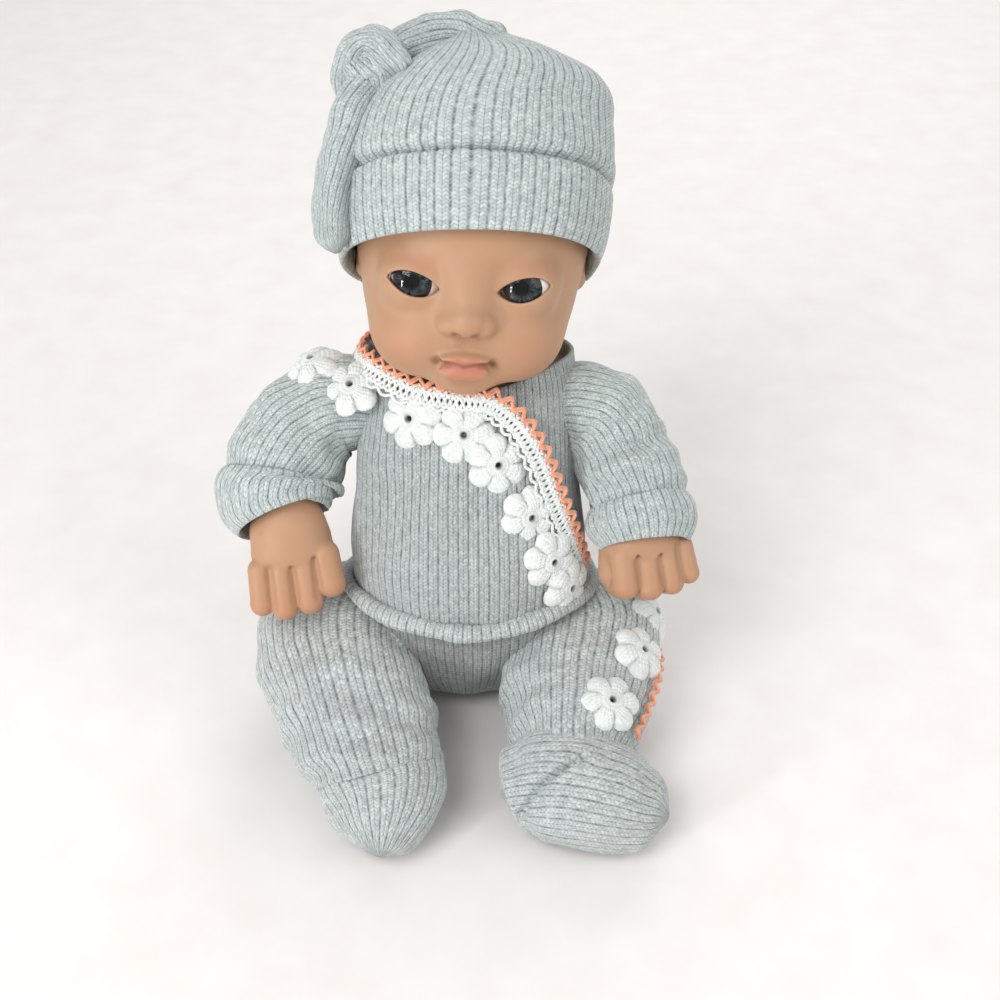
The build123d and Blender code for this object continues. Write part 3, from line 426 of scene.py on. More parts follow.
def knit_material(name, light=KNIT_LIGHT, dark=KNIT_DARK, seed=0.0):
    """Heather rib knit: V-shaped stitches from the knit map, flecked yarn and loose fibres, with painted
    shade in the rib grooves and between the stitches.
    """
    shader = Shader(name)
    knit_map = shader.node("ShaderNodeUVMap", uv_map="knit")
    parts = shader.node("ShaderNodeSeparateXYZ")
    shader.link(knit_map.outputs[0], parts.inputs[0])
    column = shader.math("MULTIPLY", parts.outputs[0], 2.0)
    in_column = shader.math("FRACT", column)
    from_middle = shader.math("ABSOLUTE", shader.math("SUBTRACT", in_column, 0.5))
    row = shader.math("MULTIPLY_ADD", from_middle, 1.1, parts.outputs[1])
    in_row = shader.math("FRACT", row)
    arch = shader.math("SINE", shader.math("MULTIPLY", in_row, pi))
    wale = shader.math("SINE", shader.math("MULTIPLY", in_column, pi))
    leg = shader.math("SINE", shader.math("MULTIPLY", shader.math("FRACT", shader.math(
        "MULTIPLY", in_column, 2.0)), pi))
    stitch = shader.math("MULTIPLY", shader.math("POWER", arch, 0.6), shader.math("POWER", shader.math(
        "MULTIPLY_ADD", leg, 0.6, shader.math("MULTIPLY", wale, 0.4)), 0.7))
    cell = shader.point(shader.math("FLOOR", shader.math("MULTIPLY", column, 2.0)),
                        shader.math("FLOOR", row), seed)
    fleck = shader.node("ShaderNodeTexWhiteNoise", noise_dimensions="3D")
    shader.link(cell, fleck.inputs["Vector"])
    across, along = parts.outputs[0], parts.outputs[1]
    streak = shader.noise(1.0, 3.0, 0.6, shader.point(
        shader.math("MULTIPLY", across, 9.0), shader.math("MULTIPLY", along, 0.55), seed))
    fibre = shader.noise(2600, 2.0, 0.6)
    cloud = shader.noise(28, 2.0)
    shade = shader.math("ADD", shader.math("MULTIPLY", fleck.outputs["Value"], 0.55),
                        shader.math("MULTIPLY_ADD", streak, 1.1, -0.32))
    yarn = shader.mix(shader.range(shade, 0.05, 0.95), dark, light)
    yarn = shader.mix(shader.range(fibre, 0.58, 0.72, 0.0, 0.35), yarn, (0.84, 0.87, 0.86))
    yarn = shader.mix(shader.range(cloud, 0.4, 0.65, 0.0, 0.25), yarn, (0.50, 0.545, 0.575))
    # Painted shade: the rib grooves, in dashes, and the gaps between stitches are darkened.
    place = shader.math("FRACT", across)
    groove = shader.math("ABSOLUTE", shader.math("SUBTRACT", place, 0.5))
    dash = shader.noise(1.0, 2.0, 0.7, shader.point(
        shader.math("MULTIPLY", across, 1.7), shader.math("MULTIPLY", along, 0.42), seed + 5.0))
    deep = shader.math("MULTIPLY", shader.range(groove, 0.15, 0.04),
                       shader.range(in_row, 0.15, 0.45, 0.5, 1.0))
    deep = shader.math("MULTIPLY", deep, shader.range(dash, 0.36, 0.62, 0.30, 1.0))
    between = shader.math("MULTIPLY", shader.range(stitch, 0.5, 0.05),
                          shader.range(dash, 0.35, 0.6, 0.3, 0.7))
    colour = shader.mix(shader.math("MAXIMUM", shader.math("MULTIPLY", deep, 0.85), between), yarn, KNIT_GROOVE_SHADE)
    normal = shader.bump(stitch, 0.36, 0.75)
    normal = shader.bump(fibre, 0.12, 0.5, normal)
    return shader.finish(colour, shader.range(fibre, 0.2, 0.8, 0.8, 0.97), normal, Sheen_Weight=0.35,
                         Sheen_Roughness=0.5, Specular_IOR_Level=0.15)


def crochet_material(name, colour, shade):
    """Fuzzy cotton thread, with painted shade in the flowers' hollows."""
    shader = Shader(name)
    twist = shader.noise(1500, 3.0, 0.65)
    lump = shader.noise(420, 2.0, 0.5)
    tint = shader.mix(shader.range(lump, 0.3, 0.7), shade, colour)
    # Painted shade: the flowers' middle holes, stitch gaps and petal seams go nearly black.
    tint = shader.mix(shader.attribute("hollow_shade"), tint, tuple(0.06 * part for part in shade))
    normal = shader.bump(lump, 0.35, 0.6)
    normal = shader.bump(twist, 0.15, 0.6, normal)
    return shader.finish(tint, 0.92, normal, Sheen_Weight=0.4, Subsurface_Weight=0.15,
                         Subsurface_Radius=(0.002, 0.002, 0.002))


SKIN, SKIN_WARM, SKIN_BLUSH = (0.465, 0.275, 0.165), (0.43, 0.235, 0.13), (0.46, 0.18, 0.105)


def skin_material(name):
    """Matte vinyl skin with a soft glow, painted blush and lips, eye rims that are part painted lash line and
    part painted shade, and painted shade in the mouth line, mouth corners, nostrils and above the eyes.
    """
    shader = Shader(name)
    mottle = shader.noise(60, 4.0, 0.6)
    pores = shader.noise(1400, 3.0, 0.6)
    tint = shader.mix(shader.range(mottle, 0.35, 0.65, 0.0, 0.35), SKIN, SKIN_WARM)
    tint = shader.mix(shader.attribute("blush"), tint, SKIN_BLUSH)
    tint = shader.mix(shader.attribute("lip"), tint, (0.50, 0.165, 0.115))
    # Painted shade in the mouth line, mouth corners and nostrils; round the eyes a dark rim, part lash line
    # and part painted shade.
    tint = shader.mix(shader.attribute("dark"), tint, (0.11, 0.03, 0.02))
    rough = shader.math("MULTIPLY_ADD", shader.attribute("lip"), -0.14, 0.50)
    rough = shader.math("ADD", rough, shader.range(pores, 0.3, 0.7, -0.04, 0.06))
    normal = shader.bump(pores, 0.03, 0.35)
    return shader.finish(tint, rough, normal, Subsurface_Weight=0.28, Subsurface_Scale=0.6,
                         Subsurface_Radius=(0.006, 0.0025, 0.0015), Specular_IOR_Level=0.38)


def moulded(name, colour, roughness, grain=700.0):
    """Moulded plastic, foam or paper with fine grain and a little wear."""
    shader = Shader(name)
    fine, broad = shader.noise(grain, 3.0), shader.noise(45, 3.0)
    darker = tuple(0.72 * part for part in colour)
    tint = shader.mix(shader.range(broad, 0.35, 0.7, 0.0, 0.6), colour, darker)
    rough = shader.range(broad, 0.3, 0.7, roughness - 0.07, roughness + 0.1)
    return shader.finish(tint, rough, shader.bump(fine, 0.03, 0.4))


def board_material():
    """Green solder mask with copper tracks under it."""
    shader = Shader("board_green")
    tracks = shader.node("ShaderNodeTexBrick")
    tracks.inputs["Scale"].default_value = 160.0
    tracks.inputs["Mortar Size"].default_value = 0.03
    shader.link(shader.place(), tracks.inputs["Vector"])
    fine = shader.noise(400, 3.0)
    tint = shader.mix(tracks.outputs["Fac"], (0.02, 0.14, 0.06), (0.05, 0.26, 0.11))
    rough = shader.range(fine, 0.3, 0.7, 0.25, 0.4)
    return shader.finish(tint, rough, shader.bump(tracks.outputs["Fac"], 0.05))


def brushed(name, colour):
    """Drawn or rolled metal, with fine lines along it."""
    shader = Shader(name)
    stretch = shader.node("ShaderNodeMapping")
    stretch.inputs["Scale"].default_value = (1.0, 1.0, 14.0)
    shader.link(shader.place(), stretch.inputs["Vector"])
    lines = shader.noise(500, 3.0, 0.6, stretch.outputs[0])
    tint = shader.mix(shader.range(lines, 0.3, 0.7), colour, tuple(0.75 * part for part in colour))
    rough = shader.range(lines, 0.3, 0.7, 0.22, 0.42)
    return shader.finish(tint, rough, shader.bump(lines, 0.02, 0.5), Metallic=1.0)


def iris_material():
    """A dark grey iris with pale radial streaks, a dark rim and a large pupil."""
    shader = Shader("iris")
    ring = shader.attribute("ring")
    turn = shader.attribute("turn")
    streak = shader.noise(1.0, 5.0, 0.7, shader.point(
        shader.math("MULTIPLY", turn, 13.0), shader.math("MULTIPLY", ring, 2.2), 0.0))
    glow = shader.math("MULTIPLY", shader.range(streak, 0.49, 0.62),
                       shader.math("MULTIPLY", shader.range(ring, 0.34, 0.5), shader.range(ring, 0.82, 0.6)))
    tint = shader.mix(glow, (0.004, 0.006, 0.008), (0.13, 0.165, 0.175))
    tint = shader.mix(shader.range(ring, 0.40, 0.33), tint, (0.002, 0.002, 0.002))
    tint = shader.mix(shader.range(ring, 0.84, 0.97), tint, (0.004, 0.005, 0.006))
    return shader.finish(tint, 0.4, shader.bump(streak, 0.08, 0.4), Specular_IOR_Level=0.06)


def sclera_material():
    """Off-white with faint warm corners."""
    shader = Shader("sclera")
    warm = shader.noise(300, 4.0, 0.6)
    tint = shader.mix(shader.range(warm, 0.4, 0.7, 0.0, 0.5), (0.80, 0.79, 0.76), (0.70, 0.52, 0.47))
    return shader.finish(tint, 0.16, shader.bump(warm, 0.02, 0.2), Coat_Weight=0.6, Coat_Roughness=0.05)


def cornea_material():
    """A clear glossy dome that doesn't darken the iris behind it."""
    shader = Shader("cornea")
    clear = shader.node("ShaderNodeBsdfTransparent")
    gloss = shader.node("ShaderNodeBsdfGlossy")
    gloss.inputs["Roughness"].default_value = 0.03
    fresnel = shader.node("ShaderNodeFresnel")
    fresnel.inputs["IOR"].default_value = 1.5
    wave = shader.bump(shader.noise(90, 2.0), 0.05, 0.15)
    shader.link(wave, gloss.inputs["Normal"])
    blend = shader.node("ShaderNodeMixShader")
    shader.link(shader.math("MULTIPLY", fresnel.outputs[0], 0.75), blend.inputs[0])
    shader.link(clear.outputs[0], blend.inputs[1])
    shader.link(gloss.outputs[0], blend.inputs[2])
    output = next(n for n in shader.tree.nodes if n.type == "OUTPUT_MATERIAL")
    shader.link(blend.outputs[0], output.inputs["Surface"])
    return shader.material


def dress(piece, material, body, slot, *replaced):
    """Gives a finished piece its material and body and hides the CAD nodes that it stands for; the slot is
    not used.
    """
    piece.data.materials.clear()
    piece.data.materials.append(material)
    if body is not None:
        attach(piece, body)
    if replaced:
        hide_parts(*replaced)
    return piece


KNIT = knit_material("heather_knit")
KNIT_CAP = knit_material("heather_knit_cap", seed=3.0)
# A darker copy of the knit, as painted shade on the wrap top.
KNIT_TOP_SHADED = knit_material("heather_knit_top_shaded", light=(0.53, 0.575, 0.56), dark=(0.27, 0.305, 0.305), seed=7.0)
# A much darker copy of the knit, as painted shade on the seat under the waistband roll.
KNIT_SEAT_SHADED = knit_material("heather_knit_seat_shaded", light=(0.40, 0.42, 0.41), dark=(0.20, 0.215, 0.21), seed=9.0)
KNIT_LEGS = knit_material("heather_knit_legs", light=(0.64, 0.69, 0.675), dark=(0.33, 0.365, 0.365), seed=5.0)
COTTON = crochet_material("white_cotton", (0.80, 0.83, 0.82), (0.66, 0.70, 0.69))
PEACH = crochet_material("peach_cotton", (0.83, 0.40, 0.25), (0.68, 0.27, 0.16))
VINYL = skin_material("vinyl_skin")


# ---- Head ----
def almond(clay, sign):
    """The eye's opening, seen along the face: above the lower lid and below the upper lid."""
    across = (clay.x - sign * EYE[0]) * sign / 9.0  # -1 at the inner corner, 1 at the outer
    inside = np.clip(1 - across**2, 0, None)
    rise = EYE[2] + across * 1.5
    top = rise + inside ** 0.75 * (4.1 + 0.5 * across)
    bottom = rise - inside ** 0.85 * (4.3 - 0.3 * across)
    lids = np.maximum(clay.z - top, bottom - clay.z) * 0.85
    return np.maximum(lids, np.abs(across) * 9.0 - 9.0)


MOUTH_SEAM = [(-9.6, -38.4, 116.8), (-6.2, -41.6, 117.1), (-2.6, -43.4, 117.1), (0, -43.6, 116.6),
              (2.6, -43.4, 117.1), (6.2, -41.6, 117.1), (9.6, -38.4, 116.8)]


def head_clay():
    step = 0.5
    clay = Clay((-52, -56, 88), (52, 54, 203), step)
    clay.add(clay.ball((0, 3, 157), (42.5, 44.5, 42)))
    clay.add(clay.ball((0, -1, 128), (35.5, 38.5, 24.5)), 14)
    for sign in SIDES.values():
        clay.add(clay.ball((sign * 16.5, -20, 122), (16, 17.5, 14)), 10)
    clay.add(clay.ball((0, -27, 110), (9.5, 9, 7)), 8)
    clay.add(clay.rod((0, 1, 92), (0, 1, 112), 13.5), 3)
    for sign in SIDES.values():
        clay.cut(clay.ball((sign * 18.5, -50.8, 144.5), (13, 9, 8)), 10)
    clay.add(clay.rod((0, -35, 145), (0, -40.2, 134), 5.5, 5.0), 10)
    clay.add(clay.ball((0, -43.4, 132), (5.8, 4.8, 4.4)), 4)
    for sign in SIDES.values():
        clay.add(clay.ball((sign * 6.4, -41.0, 130.8), (3.5, 4.0, 3.4)), 2.2)
        clay.cut(clay.ball((sign * 3.3, -44.8, 127.7), (1.5, 1.7, 1.2)), 1.4)
        eye = (sign * EYE[0], EYE[1], EYE[2])
        clay.add(clay.ball(eye, EYE_RADIUS + 1.5), 3.5)
    clay.cut(clay.ball((0, -43.2, 123.2), (2.4, 3.0, 3.0)), 2.6)
    for sign in SIDES.values():
        clay.add(clay.ball((sign * 3.4, -39.6, 118.3), (5.2, 3.2, 1.9)), 2.8)
        clay.add(clay.ball((sign * 2.8, -39.2, 114.1), (6.2, 4.0, 2.9)), 2.4)
    clay.cut(clay.ball((0, -37.5, 108.4), (8, 3.2, 1.8)), 3.5)
    for start, end in zip(MOUTH_SEAM, MOUTH_SEAM[1:]):
        clay.cut(clay.rod(start, end, 0.7), 1.0)
    for sign in SIDES.values():
        clay.cut(clay.ball((sign * 9.6, -38.6, 116.3), (1.7, 2.2, 1.5)), 2.0)
        clay.add(clay.ball((sign * 39.5, 10, 143), (4.0, 5.8, 8.4)), 2.5)
        clay.cut(clay.ball((sign * 44.2, 8.8, 144), (3.2, 3.4, 5.4)), 1.6)
    for sign in SIDES.values():
        eye = (sign * EYE[0], EYE[1], EYE[2])
        slit = np.maximum(almond(clay, sign), clay.y - EYE[1] + 2)
        clay.cut(slit, 0.9)
        clay.cut(clay.ball(eye, EYE_RADIUS + 0.15), 0.2)
    return clay


MOUTH_LINE = [x for x, _, _ in MOUTH_SEAM], [up for _, _, up in MOUTH_SEAM]


def rolled(places):
    """Torso places of head points after the head's small roll about its base."""
    x, back, up = places[..., 0], places[..., 1], places[..., 2] - 122.0
    return spine(x * cos(ROLL) + up * sin(ROLL), back, up * cos(ROLL) - x * sin(ROLL) + 122.0)


def make_head():
    places, quads = head_clay().skin()
    head = mesh_object("head_face", rolled(places), quads.tolist())
    x, back, up = places.T
    front = ease(-back, 18, 30)
    wide = np.abs(x)
    cheek = bell(wide, 22, 10) * bell(up, 120, 9)
    nose = bell(x, 0, 7) * bell(up, 131, 5) * ease(-back, 40, 44)
    # Above the eyes the blush colour is painted shade.
    brow_shade = bell(wide, 19, 11) * bell(up, 151, 3.2)
    chin = bell(x, 0, 10) * bell(up, 106, 4)
    # The blush paint holds real blush on the cheeks, nose and chin, and painted shade above the eyes.
    blush = front * np.clip(0.30 * cheek + 0.12 * nose + 0.30 * brow_shade + 0.22 * chin, 0, 1)
    paint(head, "blush", blush)
    bow = 2.6 - 0.7 * bell(x, 0, 1.5) + 0.2 * bell(wide, 3.2, 1.6)
    upper = ease(1 - (x / 9.4) ** 2 - ((up - 117.0) / bow) ** 2, 0.0, 0.55) * ease(up, 116.2, 117.0)
    lower = ease(1 - (x / 8.8) ** 2 - ((up - 115.8) / 4.7) ** 2, 0.0, 0.6) * ease(-up, -117.0, -116.2)
    paint(head, "lip", np.clip(np.maximum(upper, 0.85 * lower) * ease(-back, 35.5, 38.5), 0, 1) * 0.8)
    # Painted shade in the mouth line, the mouth corners and the nostrils.
    line = smooth(x, *MOUTH_LINE)[:, 0]
    mouth = bell(up, line, 0.7) * ease(10.4 - wide, 0, 2.0) * front
    corner = bell(wide, 9.7, 1.3) * bell(up, 116.4, 1.1) * front
    dark = np.maximum(0.6 * mouth, 0.65 * corner)
    nostril = bell(wide, 3.3, 1.5) * bell(up, 127.6, 1.1) * front
    dark = np.maximum(dark, 0.45 * nostril)
    # Round each eye: a dark rim on the lid's inner wall, part painted lash line and part painted shade,
    # stronger along the upper lid.
    for sign in SIDES.values():
        centre = np.array([sign * EYE[0], EYE[1], EYE[2]])
        distance = np.linalg.norm(places - centre, axis=1)
        rim = ease(EYE_RADIUS + 1.25 - distance, 0, 0.75) * front
        upper_lid = 0.45 + 0.5 * ease(up - EYE[2], -1, 2)
        dark = np.maximum(dark, upper_lid * rim)
    paint(head, "dark", dark)
    dress(head, VINYL, "head", "vinyl_skin", "head_shell")


def make_eye(side, sign):
    """The white, the dished iris and the clear dome, looking along the gaze."""
    centre = np.array([sign * EYE[0], EYE[1], EYE[2]])
    gaze = np.array([-sin(GAZE), -cos(GAZE), 0.0])
    first = np.array([cos(GAZE), -sin(GAZE), 0.0])
    second = np.array([0.0, 0.0, 1.0])

    def rings_at(along, out, angle):
        spokes = first * np.cos(angle)[:, None] + second * np.sin(angle)[:, None]
        return centre + gaze * along[:, None, None] + out[:, None, None] * spokes

    def shell(polar, radius):
        angle = np.linspace(0, 2 * pi, EYE_COLUMNS, endpoint=False)
        return rings_at(radius * np.cos(polar), radius * np.sin(polar), angle)

    white = shell(np.linspace(IRIS_EDGE, pi - 0.02, 40), EYE_RADIUS)
    piece = mesh_object(f"{side}_eye_white", rolled(white.reshape(-1, 3)), grid_faces(40, EYE_COLUMNS, True))
    dress(piece, sclera_material(), "head", "eye_white", f"{side}_eyeball", f"{side}_eye_cup")

    rings = 26
    share = np.linspace(0.02, 1, rings)
    depth = EYE_RADIUS * cos(IRIS_EDGE) - 0.25 - 0.9 * (1 - share**2) * 0.6
    angle = np.linspace(0, 2 * pi, IRIS_COLUMNS, endpoint=False)
    disc = rings_at(depth, share * EYE_RADIUS * sin(IRIS_EDGE), angle)
    faces = grid_faces(rings, IRIS_COLUMNS, True) + [list(range(IRIS_COLUMNS))[::-1]]
    piece = mesh_object(f"{side}_eye_iris", rolled(disc.reshape(-1, 3)), faces)
    paint(piece, "ring", np.repeat(share, IRIS_COLUMNS))
    paint(piece, "turn", np.tile(np.cos(angle * 3 + sign) + 2 * angle / pi, rings))
    dress(piece, iris_material(), "head", "iris_grey", f"{side}_iris")

    dome = shell(np.linspace(0.01, IRIS_EDGE + 0.02, 22), EYE_RADIUS + 0.03)
    faces = grid_faces(22, EYE_COLUMNS, True) + [list(range(EYE_COLUMNS))[::-1]]
    piece = mesh_object(f"{side}_eye_dome", rolled(dome.reshape(-1, 3)), faces)
    dress(piece, cornea_material(), "head", "cornea_clear", f"{side}_cornea")


# ---- Hands, shaped in the world: both show the back of the hand to the front and above ----
HAND_REACH = {"right": (0.12, -0.60, -0.79), "left": (0.20, -0.75, -0.63)}
HAND_THUMB = {"right": (0.99, 0.08, 0.06), "left": (-0.96, -0.10, 0.22)}
WRISTS = {"right": (-67.0, -4.0, 84.5), "left": (62.5, -1.0, 84.0)}
# Each finger from the thumb's side: place across, root and bend along the hand, and radius
FINGERS = {
    "right": [(12.5, 15, 26.0, 5.3), (4.6, 18, 31.5, 5.0), (-4.0, 19, 32.5, 5.0), (-11.6, 18, 30.5, 4.5)],
    "left": [(9.6, 15, 26.0, 5.0), (1.2, 16, 28.0, 4.9), (-6.8, 16, 27.5, 4.6), (-13.6, 15, 25.0, 4.1)],
}


def make_hand(side, sign):
    wrist = np.array(WRISTS[side])
    reach = unit(np.array(HAND_REACH[side]))
    thumb = np.array(HAND_THUMB[side])
    thumb = unit(thumb - reach * (reach @ thumb))
    back_of_hand = np.cross(thumb, reach) * sign
    elbow = spine(*[np.array(value, float) for value in SLEEVES[side][3][:3]])
    step = 0.45
    clay = Clay(wrist - 48, wrist + 48, step)

    def at(across, along, out):
        return wrist + thumb * across + reach * along + back_of_hand * out

    clay.add(clay.rod(wrist + (elbow - wrist) * 0.7, wrist, 11.0, 10.5))
    clay.add(clay.rod(wrist, at(0, 9, 0), 10.5, 10.0), 4)
    for across, width in ((-7.8, 8.0), (-2.6, 9.2), (2.6, 9.4), (7.8, 8.4)):
        clay.add(clay.rod(at(across * 0.7, 6, 0), at(across, 12, 0), width, width * 0.84), 6)
    fingers = FINGERS[side]
    for across, root, end, radius in fingers:
        lean = 0.09 * across
        knuckle, bend = at(across, root, 2.6), at(across + lean, end, 0.6)
        clay.add(clay.rod(knuckle, bend, radius + 0.2, radius * 0.96), 0.8)
        clay.add(clay.rod(bend, at(across + lean * 0.6, end - 1.5, -8.5), radius * 0.96, radius * 0.85), 0.7)
    thumb_root, thumb_tip = at(9, 8, -4), at(11.5, 19, -8.5)
    clay.add(clay.rod(thumb_root, thumb_tip, 6.0, 5.0), 2.5)
    for (across, root, _, _), (next_across, next_root, _, _) in zip(fingers, fingers[1:]):
        between = at((across + next_across) / 2 * 1.03, (root + next_root) / 2 + 4, 6.6)
        clay.cut(clay.rod(between - reach * 4.5, between + reach * 10 - back_of_hand * 1.5, 0.7, 0.9), 2.0)
    points, quads = clay.skin()
    hand = mesh_object(f"{side}_hand", points, quads.tolist())
    along = (points - wrist) @ reach
    paint(hand, "blush", 0.30 * ease(along, 20, 38) + 0.06)
    paint(hand, "lip", np.zeros(len(points)))
    paint(hand, "dark", np.zeros(len(points)))
    dress(hand, VINYL, f"{side}_arm", "vinyl_skin", f"{side}_arm")


# ---- Wrap top ----
# Height along the spine: half width, half depth, centre's distance to the back
TOP_SECTIONS = {
    10: (41, 32, -1), 22: (43.5, 35, -3), 36: (44.5, 36, -3.5), 50: (43.8, 34.5, -3),
    65: (42.3, 31.5, -1.5), 80: (42.0, 29, -0.5), 92: (41.8, 27.6, 0.5), 101: (41.0, 27.5, 2),
    108: (39.5, 28.5, 3), 116: (38.5, 29, 4),
}
NECK_FRONT, NECK_SIDE, NECK_BACK = 101.0, 110.3, 114.0
EDGE_LINE = [(14, 44.5), (24, 43.5), (36, 40.5), (52, 36), (68, 31), (82, 26), (92, 20), (98, 14), (101.5, 6)]
PANEL_LIFT = 1.5


def top_section(height):
    return smooth(height, list(TOP_SECTIONS), list(TOP_SECTIONS.values()))


def neck_height(angle):
    """The neckline dips at the front; angle 0 is the doll's left, and -90 degrees its front."""
    front = np.clip(-np.sin(angle), 0, 1) ** 3.2
    back = np.clip(np.sin(angle), 0, 1)
    return NECK_SIDE + (NECK_FRONT - NECK_SIDE) * front + (NECK_BACK - NECK_SIDE) * back


def top_surface(angle, height, lift=0.0):
    """Torso places on the wrap top."""
    shape = top_section(height.ravel()).reshape(*height.shape, 3)
    wide, deep, shift = shape[..., 0] + lift, shape[..., 1] + lift, shape[..., 2]
    pull = 5.0 * ease(height, 88, 104) * np.clip(-np.sin(angle), 0, 1) ** 2
    return np.stack([wide * np.cos(angle), shift + (deep - pull) * np.sin(angle), height], axis=-1)


def top_folds(points):
    return ripple(points * [1.0, 1.0, 0.35], 26, 11) * 0.55 + ripple(points, 15, 12) * 0.2


def make_top():
    rows = 88
    columns = TORSO_RIBS * RIB_SAMPLES
    angle = np.linspace(-pi, pi, columns, endpoint=False)
    share = np.linspace(0, 1, rows)[:, None]
    height = 12 + (neck_height(angle)[None] - 12) * share
    angles = np.broadcast_to(angle, height.shape)
    places = top_surface(angles, height)
    points = spine(*np.moveaxis(places, -1, 0))
    normals = grid_normals(points, True)
    rib_place = count_ribs(rows, columns)
    offset = top_folds(points) + rib_profile(rib_place) * 0.42
    points = points + normals * offset[..., None]
    collar = hem(points[-1], normals[-1], UP, depth=1.8, inward=5)
    inward = spine(0, 4, 0) - spine(*np.stack([places[-1, :, 0], places[-1, :, 1], np.zeros(columns)]))
    collar += [collar[-1] + inward * share - UP * drop for share, drop in ((0.2, 1.0), (0.45, 4.0))]
    full = np.array([*points, *collar])
    rib_full = np.tile(rib_place[0], (len(full), 1))
    stitches = np.concatenate([height, height[-1] + np.arange(1, 8)[:, None] * 1.2]) / STITCH_HEIGHT
    piece = knit_object("wrap_under", full, rib_full, stitches, True)
    dress(piece, KNIT_TOP_SHADED, "torso", "knit", "wrap_top")


def make_wrap_panel():
    """The overlapping front: from the doll's right side across to the slanting edge."""
    rows, columns = 110, 420
    height = np.linspace(14, 101.4, rows)
    edge = smooth(height, [up for up, _ in EDGE_LINE], [x for _, x in EDGE_LINE])[:, 0]
    wide = top_section(height)[:, 0] + PANEL_LIFT
    end = -np.arccos(np.clip(edge / wide, -1, 0.999))
    start = np.full(rows, -pi * 0.97)
    share = np.linspace(0, 1, columns)[None]
    angles = start[:, None] + (end - start)[:, None] * share
    heights = np.broadcast_to(height[:, None], angles.shape)
    lift = PANEL_LIFT * ease(share, 0, 0.16) * np.ones_like(angles)
    places = top_surface(angles, heights)
    points = spine(*np.moveaxis(places, -1, 0))
    normals = grid_normals(points, False)
    rib_place = (angles + pi) / (2 * pi) * TORSO_RIBS + 0.35
    folds = top_folds(points) + 0.5 * ripple(points * [1, 1, 0.3], 19, 21) * ease(share, 0.05, 0.3)
    offset = lift + folds + rib_profile(rib_place) * 0.45
    offset[0] -= 0.6
    points = points + normals * offset[..., None]
    along = unit(points[:, -1] - points[:, -6])
    turned_edge = [points[:, -1] - normals[:, -1] * sink + along * reach
                   for sink, reach in ((0.25, 0.5), (0.8, 0.75), (1.5, 0.5), (2.1, -1.5))]
    full = np.concatenate([points, np.stack(turned_edge, axis=1)], axis=1)
    extra = rib_place[:, -1:] + np.array([[0.05, 0.1, 0.15, 0.2]])
    rib_full = np.concatenate([rib_place, extra], axis=1)
    stitch_full = np.tile((height / STITCH_HEIGHT)[:, None], (1, full.shape[1]))
    piece = knit_object("wrap_front", full, rib_full, stitch_full, False)
    dress(piece, KNIT_TOP_SHADED, "torso", "knit")


# ---- Sleeves and their cuffs, in torso places with half widths front-to-back and across ----
SLEEVES = {
    "right": [(-31, 1, 88, 14, 15), (-40, 1, 90.5, 16.5, 17.5), (-51, 0, 90, 18.5, 19.5),
              (-61, -3, 83, 19.5, 20.5), (-67.0, -8.5, 74, 20.4, 22.0), (-69.4, -12.6, 67, 18.6, 20.4),
              (-69.8, -14.6, 63, 17.0, 18.6)],
    "left": [(31, 1, 88, 14, 15), (39, 1, 89.5, 16, 17), (48, -1, 87, 17.5, 18.5),
             (56, -6, 77, 18.5, 19), (60.6, -11.2, 67, 19.2, 19.4), (63, -16.2, 58.5, 17.4, 17.8),
             (63.6, -18.2, 54.5, 16.0, 16.4)],
}
CUFFS = {
    "right": [(-69.7, -13.2, 65.6, 19.8, 21.8), (-70.2, -15.0, 62.6, 21.4, 23.4),
              (-69.4, -18.3, 57.8, 20.6, 22.4), (-67.4, -21.3, 53.4, 17.6, 19.0)],
    "left": [(63.1, -16.6, 57.4, 18.6, 19.0), (63.9, -18.8, 53.8, 20.2, 20.6),
             (64.9, -22.3, 47.6, 18.9, 19.5), (65.4, -24.7, 43.8, 16.0, 16.8)],
}
SHOULDER_UP = 88.0


def in_world(stations):
    """Stations in torso places, moved to the world."""
    stations = np.asarray(stations, float)
    return np.concatenate([spine(*stations[:, :3].T), stations[:, 3:]], axis=1)


def sleeve_folds(side):
    seed = 31 if side == "left" else 37

    def folds(points, along, angle):
        soft = ripple(points * [1.0, 1.0, 1.6], 17, seed) * 0.9 * ease(along, 0.1, 0.35)
        gather = 0.5 * np.cos(angle * 9 + seed) * ease(along, 0.75, 1.0)
        crease = 0.0
        if side == "left":
            inner = np.clip(np.cos(angle - 2.4), 0, 1) ** 1.5
            crease = (1.4 * bell(along, 0.74, 0.07) - 3.2 * bell(along, 0.62, 0.05)) * inner
        else:
            inner = np.clip(np.cos(angle + 0.4), 0, 1) ** 1.5
            crease = -1.6 * bell(along, 0.55, 0.06) * inner
        return soft + gather + crease

    return folds


def make_sleeve(side, sign):
    sleeve = tube(f"{side}_sleeve_knit", in_world(SLEEVES[side]), BACK, SLEEVE_RIBS, sleeve_folds(side),
                  hems=(False, True), row_gap=0.9)
    dress(sleeve, KNIT, None, "knit", f"{side}_sleeve")
    start, end = spine(sign * 30.0, 0, SHOULDER_UP) * MM, spine(sign * 42.0, 0, SHOULDER_UP) * MM
    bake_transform(sleeve)
    cuff = tube(f"{side}_cuff_knit", in_world(CUFFS[side]), BACK, SLEEVE_RIBS,
                lambda points, along, angle: 0.35 * ripple(points, 14, 41), hems=(True, True), row_gap=0.8,
                depth=0.4)
    dress(cuff, KNIT, f"{side}_arm", "knit", f"{side}_cuff")


